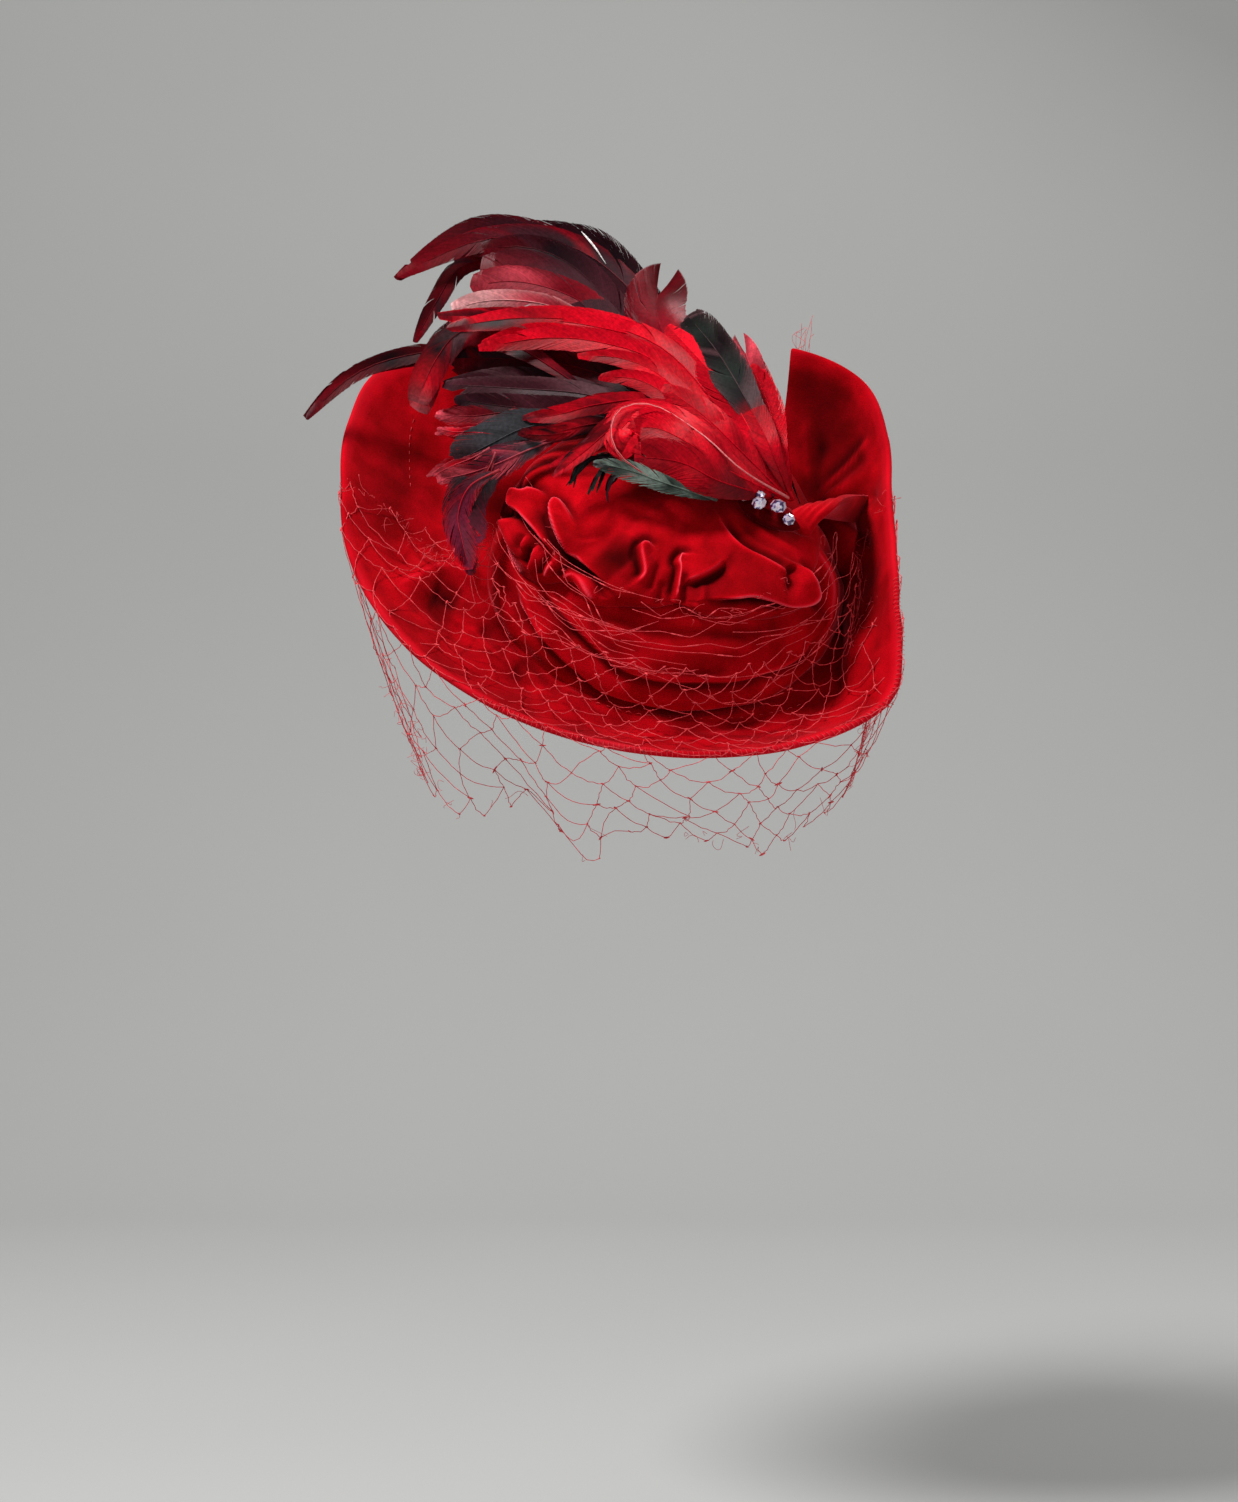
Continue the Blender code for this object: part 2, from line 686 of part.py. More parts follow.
def make_knot(surface):
    """The ribbed tab, swept from the plume's head to the inside of the flap."""
    centre, lengthwise, _ = plume_head_place()
    start = centre + lengthwise * (PLUME_HEAD_LENGTH / 2 + SEAM_GAP)
    wall = brim_point(KNOT_FLAP_DEG, KNOT_FLAP_SHARE)
    upwards = brim_point(KNOT_FLAP_DEG, KNOT_FLAP_SHARE + 0.05) - wall
    sideways = brim_point(KNOT_FLAP_DEG + 2, KNOT_FLAP_SHARE) - wall
    inwards = upwards.cross(sideways).normalized()
    if inwards.dot(wall) > 0:
        inwards.negate()
    end = wall + inwards * (BRIM_WALL / 2 + KNOT_FLAP_GAP)
    bend = (start + end) / 2 + Vector((0, 0, KNOT_THICKNESS))
    points = [start, bend, end]
    rows = []
    sides = 4 * KNOT_RIBS
    for section in range(KNOT_SECTIONS):
        share = section / (KNOT_SECTIONS - 1)
        here, ahead = spline(points, share)
        ahead = lengthwise.lerp(ahead, min(1, 4 * share)).lerp(-inwards, max(0, 4 * share - 3))
        across = ahead.cross(Vector((0, 0, 1))).normalized()
        over = across.cross(ahead).normalized()
        waist = 1 - 0.25 * math.sin(math.pi * share)
        for side in range(sides):
            angle = 2 * math.pi * side / sides
            rib = 1 + KNOT_RIB_DEPTH * (-1) ** side
            rows.append(
                here
                + across * (math.cos(angle) * KNOT_WIDTH / 2 * waist * rib)
                + over * (math.sin(angle) * KNOT_THICKNESS / 2 * waist * rib)
            )
    faces = ring_faces(KNOT_SECTIONS, sides)
    last = sides * (KNOT_SECTIONS - 1)
    faces += [tuple(range(sides - 1, -1, -1)), tuple(range(last, last + sides))]
    return new_object("side_knot", rows, faces, surface)


def at_reach(point, reach):
    """A point moved straight in or out to a reach from the crown's axis."""
    scale = reach / math.hypot(point.x, point.y)
    return Vector((point.x * scale, point.y * scale, point.z))


def veil_point(tilt, row, share):
    """A crossing of the net: on the crown, over the brim, past its edge, or down to the hem."""
    start, end, across, down = VEIL_ROWS[row]
    degrees = start + (end - start) * share
    way = outwards(degrees)
    reach = oval(degrees) * crown_reach(VEIL_TOP_SHARE) + swag(degrees, VEIL_TOP_SHARE)
    top = way * (reach + VEIL_TOP_GAP)
    top.z = VEIL_TOP_SHARE * CROWN_HEIGHT
    inner, outer, rise, _ = brim_profile(degrees)
    clear = VEIL_STANDOFF * (1 + VEIL_STEEP_SHARE * min(1.5, rise / (outer - inner)))
    edge = brim_point(degrees, 1) + way * VEIL_STANDOFF + Vector((0, 0, clear))
    if not down:
        point = top.lerp(edge, across)
        point.z -= VEIL_SAG * math.sin(math.pi * across)
        if across < 1:
            point = at_reach(point, min(point.xy.length, brim_reach(point) - clear))
        return point
    hem = Vector([along(VEIL_HEM, degrees, column) for column in (1, 2, 3)]) * VEIL_SPAN
    point = edge.lerp(tilt.inverted() @ hem, down) + way * (VEIL_BELLY * math.sin(math.pi * down))
    return at_reach(point, max(point.xy.length, brim_reach(point) + clear))


def make_veil(tilt, surface):
    """A net of diamonds whose strands are what is left when each cell is opened."""
    crossings = {}
    for row in range(len(VEIL_ROWS)):
        shift = 0.5 * (row % 2)
        for column in range(VEIL_COLUMNS + 1 - row % 2):
            crossings[row, column] = veil_point(tilt, row, (column + shift) / VEIL_COLUMNS)
    index = {}
    points = []
    faces = []
    for row in range(1, len(VEIL_ROWS) - 1):
        odd = row % 2
        for column in range(VEIL_COLUMNS - odd):
            keys = [
                (row, column),
                (row + 1, column + odd),
                (row, column + 1),
                (row - 1, column + odd),
            ]
            for key in keys:
                if key not in index:
                    index[key] = len(points)
                    points.append(crossings[key])
            corners = [crossings[key] for key in keys]
            middle = sum(corners, Vector()) / 4
            wide = (corners[2] - corners[0]).length
            tall = (corners[3] - corners[1]).length
            opening = 1 - VEIL_STRAND * math.hypot(wide, tall) / (wide * tall)
            first = len(points)
            points += [middle.lerp(corner, opening) for corner in corners]
            for side in range(4):
                after = (side + 1) % 4
                faces.append((index[keys[side]], index[keys[after]], first + after, first + side))
    return thicken(new_object("veil", points, faces, surface), VEIL_THICKNESS, 0)


def main():
    clear_scene()
    velvet = material("velvet", VELVET_RED, 0.85)
    feathers = material("feathers", FEATHER_RED, 0.5)
    net = material("net", NET_RED, 0.6)
    crystal = material("crystal", CRYSTAL_CLEAR, 0.05)
    turn = Euler((math.radians(FORWARD_TILT_DEG), math.radians(SIDE_ROLL_DEG), 0.0))
    seat = bpy.data.objects.new("head_seat", None)
    seat.rotation_euler = turn
    bpy.context.scene.collection.objects.link(seat)
    pieces = [make_crown(velvet), make_drape(velvet), make_brim(velvet), make_knot(velvet)]
    pieces.append(make_plume(feathers))
    pieces += [make_crystal(index, row, crystal) for index, row in enumerate(CRYSTALS)]
    pieces.append(make_veil(turn.to_matrix(), net))
    for piece in pieces:
        piece.parent = seat


main()
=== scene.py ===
"""The velvet tilt hat, dressed: pile velvet, feathers made of single barbs, cut stones and a knotted net.

Everything is in metres. The hat has its own frame, tilted on the head seat at the origin: X to the
wearer's left, Y to the back and Z out through the crown. Surfaces are made there and turned at the end.
"""

import json
import math

import bpy
import numpy as np
from mathutils import Euler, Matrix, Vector, noise

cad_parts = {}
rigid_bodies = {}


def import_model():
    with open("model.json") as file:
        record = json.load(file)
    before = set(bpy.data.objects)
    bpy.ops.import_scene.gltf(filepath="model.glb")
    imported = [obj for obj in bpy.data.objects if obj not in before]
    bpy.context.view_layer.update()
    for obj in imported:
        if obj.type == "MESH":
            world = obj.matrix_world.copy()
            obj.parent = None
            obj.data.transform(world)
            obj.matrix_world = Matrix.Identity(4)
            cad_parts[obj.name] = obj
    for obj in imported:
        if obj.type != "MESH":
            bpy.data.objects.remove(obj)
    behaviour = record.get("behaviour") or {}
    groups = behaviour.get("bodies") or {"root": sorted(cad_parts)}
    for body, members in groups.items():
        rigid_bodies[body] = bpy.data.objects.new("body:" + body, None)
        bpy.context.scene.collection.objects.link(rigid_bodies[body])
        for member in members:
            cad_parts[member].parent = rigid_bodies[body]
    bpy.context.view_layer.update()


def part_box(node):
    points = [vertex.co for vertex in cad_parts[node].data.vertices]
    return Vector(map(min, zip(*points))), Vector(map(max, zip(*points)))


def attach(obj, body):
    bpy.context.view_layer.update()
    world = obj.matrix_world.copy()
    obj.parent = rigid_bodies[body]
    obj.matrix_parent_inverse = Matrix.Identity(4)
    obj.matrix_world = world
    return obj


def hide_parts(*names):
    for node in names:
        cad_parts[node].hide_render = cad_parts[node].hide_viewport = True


# The camera stands where the photograph's did. The scale is metres to a pixel at the head seat.
SCALE = 0.00042
CAMERA_DISTANCE = 1.30
IMAGE_WIDTH = 1238
IMAGE_HEIGHT = 1502
SEAT_PIXEL = (662, 592)

# How the hat sits, and the sizes that it shares with the solids
FORWARD_TILT_DEG = 45.0
SIDE_ROLL_DEG = 10.0
SEAM_GAP = 0.0004
CROWN_WIDTH = 0.148
CROWN_DEPTH = 0.146
CROWN_HEIGHT = 0.044
CROWN_WALL = 0.0025
DRAPE_PUFF = 0.012
DRAPE_WALL = 0.0020
BRIM_REACH = 0.110
BRIM_RISE = 0.056
BRIM_WALL = 0.0030
BRIM_VELVET_SHARE = 0.9
BRIM_COLLAR = 0.05
COLLAR_TUCK = 0.0024
SLIT_FOOT_DEG = 61.0
SLIT_FOOT_WIDTH_DEG = 3.0
FLAP_END_DEG = 71.5
BACK_END_DEG = 84.0
PLUME_HEAD_AT = (0.50, -0.10)
PLUME_HEAD_LENGTH = 0.030
PLUME_HEAD_WIDTH = 0.014
PLUME_HEAD_HEIGHT = 0.009
PLUME_HEAD_TURN_DEG = -25.0
STONE_ABOVE_HEAD = 0.0078
KNOT_WAIST = (822, 508)
KNOT_FLAP_DEG = 31
KNOT_FLAP_SHARE = 0.66
KNOT_HALF_WIDTH = 0.0075
KNOT_HALF_HEIGHT = 0.0034
KNOT_PLEAT = 0.0009
KNOT_PLEATS = 4.5
KNOT_ROOT_SHARE = 0.42
KNOT_WAIST_DROP = 0.002
KNOT_SINK = 0.0036
KNOT_WIDTHS = (
    # share of the way from the plume to the flap, share of the half width
    (0.00, 0.95),
    (0.30, 0.80),
    (0.55, 0.95),
    (1.00, 0.80),
)
KNOT_HEIGHTS = (
    # share of the way from the plume to the flap, share of the half height
    (0.0, 1.10),
    (0.3, 0.95),
    (0.6, 0.70),
    (1.0, 0.40),
)

CROWN_PROFILE = (
    # share of the half width, share of the height
    (1.00, -0.03),
    (1.00, 0.07),
    (1.01, 0.20),
    (0.98, 0.36),
    (0.92, 0.54),
    (0.84, 0.70),
    (0.73, 0.84),
    (0.58, 0.94),
    (0.38, 0.99),
    (0.18, 1.00),
    (0.00, 1.00),
)
DRAPE_PROFILE = (
    # share of the reach, share of the lift
    (0.96, -0.04),
    (1.00, 0.00),
    (1.03, 0.28),
    (1.00, 0.55),
    (0.91, 0.76),
    (0.76, 0.90),
    (0.55, 0.97),
    (0.28, 1.00),
    (0.00, 1.00),
)
DRAPE_EDGE = (
    # degrees, reach as a share of the crown's half width, lift as a share of the puff
    (0, 0.78, 0.80),
    (24, 0.77, 0.80),
    (60, 0.80, 0.90),
    (100, 0.82, 0.70),
    (140, 0.82, 0.70),
    (170, 0.87, 0.90),
    (186, 0.92, 1.10),
    (204, 0.92, 1.15),
    (220, 0.88, 0.95),
    (230, 0.78, 0.50),
    (242, 0.81, 0.95),
    (256, 0.76, 0.70),
    (268, 0.72, 0.55),
    (278, 0.68, 0.20),
    (288, 0.74, 0.60),
    (302, 0.78, 0.75),
    (318, 0.83, 0.95),
    (334, 0.86, 1.10),
    (348, 0.82, 0.90),
)
BRIM_EDGE = (
    # degrees, share of the reach, share of the rise
    (0, 0.825, 0.82),
    (20, 0.830, 0.90),
    (38, 0.940, 0.96),
    (54, 1.060, 1.00),
    (72, 1.050, 0.97),
    (88, 1.040, 0.76),
    (112, 1.110, 0.60),
    (134, 1.310, 0.49),
    (148, 1.460, 0.43),
    (161, 1.385, 0.40),
    (176, 1.275, 0.35),
    (195, 1.195, 0.28),
    (215, 1.110, 0.23),
    (238, 1.030, 0.21),
    (262, 0.985, 0.21),
    (284, 0.975, 0.22),
    (304, 1.030, 0.31),
    (317, 1.080, 0.43),
    (325, 1.085, 0.53),
    (333, 1.000, 0.67),
    (343, 0.895, 0.76),
)

# The brim's own broad waves, which its solid has too
BRIM_FOLDS = (
    # degrees, share of the way out, share of the fold height, half width in degrees, half length in share
    (198, 0.42, 0.9, 8, 0.20),
    (212, 0.34, -1.0, 7, 0.20),
    (226, 0.36, 0.6, 7, 0.22),
    (238, 0.30, -0.6, 6, 0.20),
    (250, 0.34, 0.6, 7, 0.22),
    (264, 0.30, -0.5, 6, 0.20),
    (282, 0.32, 0.5, 8, 0.22),
    (300, 0.36, -0.5, 7, 0.22),
    (352, 0.45, 0.5, 8, 0.25),
    (6, 0.50, -0.6, 6, 0.25),
    (18, 0.55, 0.7, 6, 0.25),
    (30, 0.55, -0.9, 6, 0.25),
    (41, 0.50, 0.8, 6, 0.25),
    (150, 0.45, -0.6, 12, 0.20),
)
BRIM_FOLD_HEIGHT = 0.0032
LIP_EDGE = 0.0016

# Broad and small unevenness of the velvet: the size of its waves, their height and a seed
RIPPLES = {
    "brim": ((0.030, 0.0010, 3.0), (0.010, 0.00030, 9.0)),
    "crown": ((0.020, 0.0018, 5.0), (0.008, 0.0004, 6.0)),
    "drape": ((0.022, 0.0012, 1.0), (0.008, 0.0004, 2.0)),
}

# A lip falls away past its edge. A fold fades out towards both ends of its line.
LIP_FALL = 0.75
LIP_FALL_WIDTH = 0.55
FOLD_FADE = 5
FOLD_END = 0.25
CROWN_FOLD_RANGE = (-0.0045, 0.0075)
DRAPE_FOLD_RANGE = (-0.0060, 0.0090)
CLOSE_WITHIN = 0.00005

# The painted shading: above 0 the velvet gets a pale pink painted highlight, below 0 it is darkened as
# painted shade.
# It is painted in broad soft patches, and a sharp fold gets a thin line of painted highlight with painted
# shade past it.
PAINTED_LINE_WIDTH = 0.00095
FULL_PAINTED_SHADING_AT = 0.0040
PAINTED_SHADE_PAST_LIP = 0.9
PAINTED_HIGHLIGHT_ON_RIDGE = 0.6
PAINTED_SHADE_IN_DIP = 0.7
PAINTED_HIGHLIGHT_AT_RIM = 0.40
PAINTED_HIGHLIGHT_TONES = (
    # place between painted shade at 0 and painted highlight at 1, colour of the painted highlight
    (0.68, (0.78, 0.004, 0.016)),
    (0.82, (0.86, 0.040, 0.070)),
    (0.96, (0.92, 0.22, 0.27)),
)
# Painted reflections on the stones: white, violet and rose glints and dark facets in a cloudy pattern
CRYSTAL_PAINTED_REFLECTIONS = (
    # place in the cloudy pattern, colour of the painted reflection
    (0.38, (0.07, 0.03, 0.12)),
    (0.47, (0.72, 0.58, 0.98)),
    (0.54, (1.0, 1.0, 1.0)),
    (0.66, (1.0, 0.74, 0.90)),
)
# Broad soft patches of painted shade, and two of painted light, on the velvet
PAINTED_SHADE_AND_LIGHT_PATCHES = (
    # pixels, radius in pixels, amount: below 0 painted shade, above 0 painted light
    (826, 392, 40, -0.70),
    (832, 450, 34, -0.62),
    (848, 530, 26, -0.30),
    (868, 600, 22, -0.14),
    (814, 490, 14, -0.40),
    (380, 500, 42, -0.42),
    (410, 450, 24, -0.20),
    (440, 598, 16, -0.22),
    (490, 640, 14, -0.24),
    (516, 674, 12, -0.24),
    (620, 725, 34, 0.12),
    (812, 620, 10, -0.30),
    (700, 690, 50, -0.20),
    (618, 556, 18, -0.40),
    (640, 512, 30, 0.10),
    (700, 590, 16, -0.30),
    (760, 580, 20, -0.16),
    (500, 500, 22, -0.50),
)

# Folds are drawn where the photograph shows them, as pixels along each line. A ridge is round, a crease
# is sharp, a hollow is a soft dip, and a lip stands up on the line's left hand and drops to its right.
DRAPE_FOLDS = (
    # shape, height and width in millimetres, then the line's pixels
    ("lip", 5.0, 8.0, (
        (548, 496), (541, 491), (533, 490), (526, 492), (518, 490), (513, 496), (512, 508), (520, 514),
        (533, 528), (543, 541), (553, 555),
    )),
    ("lip", 5.5, 8.0, (
        (575, 524), (568, 511), (563, 504), (556, 501), (550, 506), (549, 514), (553, 526), (559, 541),
        (566, 553), (578, 560), (594, 574), (604, 584),
    )),
    ("crease", 4.0, 2.2, ((538, 506), (545, 524), (556, 546), (570, 562), (588, 578))),
    ("crease", 4.5, 1.6, ((584, 567), (594, 581))),
    ("lip", 4.0, 5.0, ((553, 556), (549, 562), (544, 571), (542, 583), (543, 595))),
    ("lip", 4.0, 6.0, ((512, 517), (503, 518), (495, 525), (488, 535), (485, 545), (488, 560))),
    ("lip", 3.4, 3.6, ((538, 541), (533, 550), (528, 565), (525, 580), (524, 594))),
    ("lip", 2.6, 3.0, ((526, 534), (523, 542), (521, 550))),
    ("lip", 2.8, 3.4, ((496, 560), (499, 575), (501, 598))),
    ("crease", 2.8, 2.2, ((531, 548), (520, 575), (515, 592))),
    ("lip", 3.4, 5.0, ((600, 604), (592, 590), (582, 577), (573, 571), (564, 574), (561, 584))),
    ("hollow", 3.2, 9.0, ((606, 548), (618, 556), (628, 566))),
    ("lip", 4.6, 5.0, (
        (655, 549), (646, 543), (639, 545), (638, 552), (641, 563), (642, 573), (634, 581),
    )),
    ("crease", 2.6, 1.8, ((660, 562), (653, 577), (648, 590))),
    ("lip", 4.0, 4.2, ((692, 554), (682, 554), (676, 561), (679, 569), (676, 582), (673, 600))),
    ("crease", 2.8, 1.8, ((688, 572), (684, 588), (682, 604))),
    ("ridge", 2.0, 2.0, ((704, 582), (702, 596), (694, 610))),
    ("crease", 2.4, 1.8, ((664, 580), (660, 594), (656, 606))),
    ("lip", 4.4, 6.0, ((686, 584), (703, 577), (717, 569), (726, 560))),
    ("hollow", 2.0, 6.0, ((700, 588), (716, 582), (730, 574))),
    ("lip", 6.0, 9.0, (
        (716, 600), (734, 599), (750, 597), (766, 600), (784, 604), (802, 601), (811, 592), (810, 580),
        (806, 569), (798, 564),
    )),
    ("crease", 4.5, 1.8, ((799, 569), (791, 572), (790, 582), (786, 590))),
    ("lip", 3.4, 6.0, ((790, 574), (778, 565), (757, 553), (741, 544), (730, 533), (721, 519))),
    ("crease", 2.0, 2.0, ((800, 560), (780, 548), (758, 536), (738, 518))),
    ("ridge", 1.2, 6.0, ((579, 527), (606, 525), (642, 540), (668, 552))),
    ("hollow", 1.6, 9.0, ((700, 545), (730, 552), (760, 562))),
)
CROWN_FOLDS = (
    # shape, height and width in millimetres, then the line's pixels
    ("lip", 3.2, 8.0, (
        (548, 596), (568, 622), (592, 646), (619, 668), (659, 681), (726, 681), (771, 672), (800, 656),
        (814, 636),
    )),
    ("crease", 2.4, 2.4, ((573, 603), (589, 619), (599, 639), (620, 660))),
    ("lip", 2.4, 6.0, (
        (520, 606), (545, 640), (575, 672), (606, 693), (650, 705), (700, 707), (745, 703), (784, 690),
        (812, 664),
    )),
    ("ridge", 1.5, 5.0, ((588, 612), (622, 634), (666, 648), (716, 650), (766, 642), (800, 626))),
    ("crease", 1.7, 2.6, ((584, 600), (618, 622), (664, 634), (716, 636), (768, 628), (806, 612))),
    ("crease", 1.8, 2.0, ((650, 668), (690, 674), (728, 672))),
    ("ridge", 2.6, 3.0, ((500, 560), (502, 590), (514, 622))),
    ("crease", 2.6, 2.4, ((510, 580), (516, 606), (532, 636))),
    ("ridge", 2.4, 3.0, ((526, 590), (534, 614), (552, 640))),
    ("crease", 3.0, 2.4, ((541, 596), (552, 618), (572, 642))),
    ("lip", 3.4, 5.0, ((470, 560), (472, 590), (486, 624), (510, 654))),
    ("crease", 2.6, 2.6, ((482, 600), (500, 636), (528, 664))),
    ("ridge", 4.0, 4.5, ((796, 534), (812, 556), (824, 580), (826, 604), (820, 636))),
    ("crease", 5.0, 2.4, ((797, 550), (807, 566), (813, 584), (815, 600), (820, 612))),
    ("crease", 2.0, 2.6, ((812, 540), (832, 562), (840, 600), (834, 650), (832, 700))),
    ("ridge", 2.6, 4.0, ((842, 570), (848, 606), (844, 646), (838, 690))),
)
BRIM_LINES = (
    # shape, height and width in millimetres, then the line's pixels
    ("ridge", 3.4, 4.5, ((396, 590), (414, 582), (438, 571), (462, 575), (474, 590))),
    ("hollow", 4.2, 6.0, ((430, 592), (448, 598), (462, 604))),
    ("crease", 1.6, 3.0, ((408, 604), (430, 612), (448, 628))),
    ("hollow", 2.8, 4.5, ((482, 628), (492, 638))),
    ("hollow", 2.6, 4.5, ((514, 668), (526, 678))),
    ("ridge", 2.0, 3.2, ((470, 622), (480, 644), (500, 664))),
    ("ridge", 1.8, 3.2, ((500, 650), (516, 662), (540, 688))),
    ("crease", 1.8, 2.6, ((520, 656), (544, 680), (566, 694))),
    ("ridge", 1.6, 3.0, ((560, 688), (584, 704), (612, 714))),
    ("crease", 1.8, 2.4, ((580, 700), (606, 716), (640, 724))),
    ("ridge", 1.4, 2.6, ((640, 716), (690, 722), (744, 716), (786, 702))),
    ("crease", 1.4, 2.4, ((664, 726), (712, 730), (756, 722))),
    ("ridge", 6.0, 9.0, ((826, 510), (836, 514))),
    ("lip", 2.4, 4.0, ((871, 438), (860, 450), (848, 464), (836, 477), (827, 487))),
    ("crease", 2.6, 2.4, ((832, 494), (848, 474), (866, 454))),
    ("ridge", 2.0, 2.4, ((836, 498), (856, 482), (878, 472))),
    ("crease", 2.2, 2.2, ((840, 506), (858, 498), (880, 494))),
    ("ridge", 1.8, 2.4, ((842, 514), (862, 514), (884, 518))),
    ("crease", 2.4, 2.4, ((838, 520), (854, 530), (872, 546))),
    ("ridge", 3.0, 3.0, ((830, 530), (838, 550), (850, 576))),
    ("crease", 2.0, 2.4, ((818, 498), (818, 470), (824, 440))),
    ("ridge", 1.4, 2.4, ((812, 492), (808, 460), (806, 420))),
    ("crease", 1.4, 3.0, ((840, 600), (842, 650), (838, 700))),
    ("ridge", 1.8, 4.0, ((856, 590), (858, 640), (852, 690))),
    ("ridge", 0.8, 2.0, ((424, 392), (420, 410), (416, 428), (413, 446), (410, 470))),
)
STITCH_LINES = (
    # stitch pitch, then the line's points as degrees and share of the way out
    (0.0046, ((150, 0.72), (156, 0.66), (162, 0.60), (168, 0.545))),
    (0.0042, ((246, 0.10), (262, 0.09), (282, 0.10), (297, 0.13), (310, 0.19), (324, 0.27))),
)
OVERCAST_FROM_DEG = 236
OVERCAST_TO_DEG = 350
OVERCAST_PITCH = 0.0021
OVERCAST_LOOP = 0.0016
OVERCAST_SLANT = 0.0007
OVERCAST_TURN_DEG = (150, -40)
OVERCAST_THREAD = 0.00012
STITCH_SHOWN = (0.15, 0.75)
STITCH_THREAD = 0.00014
STITCH_RISE = 0.0009
STITCH_SINK = 0.0002
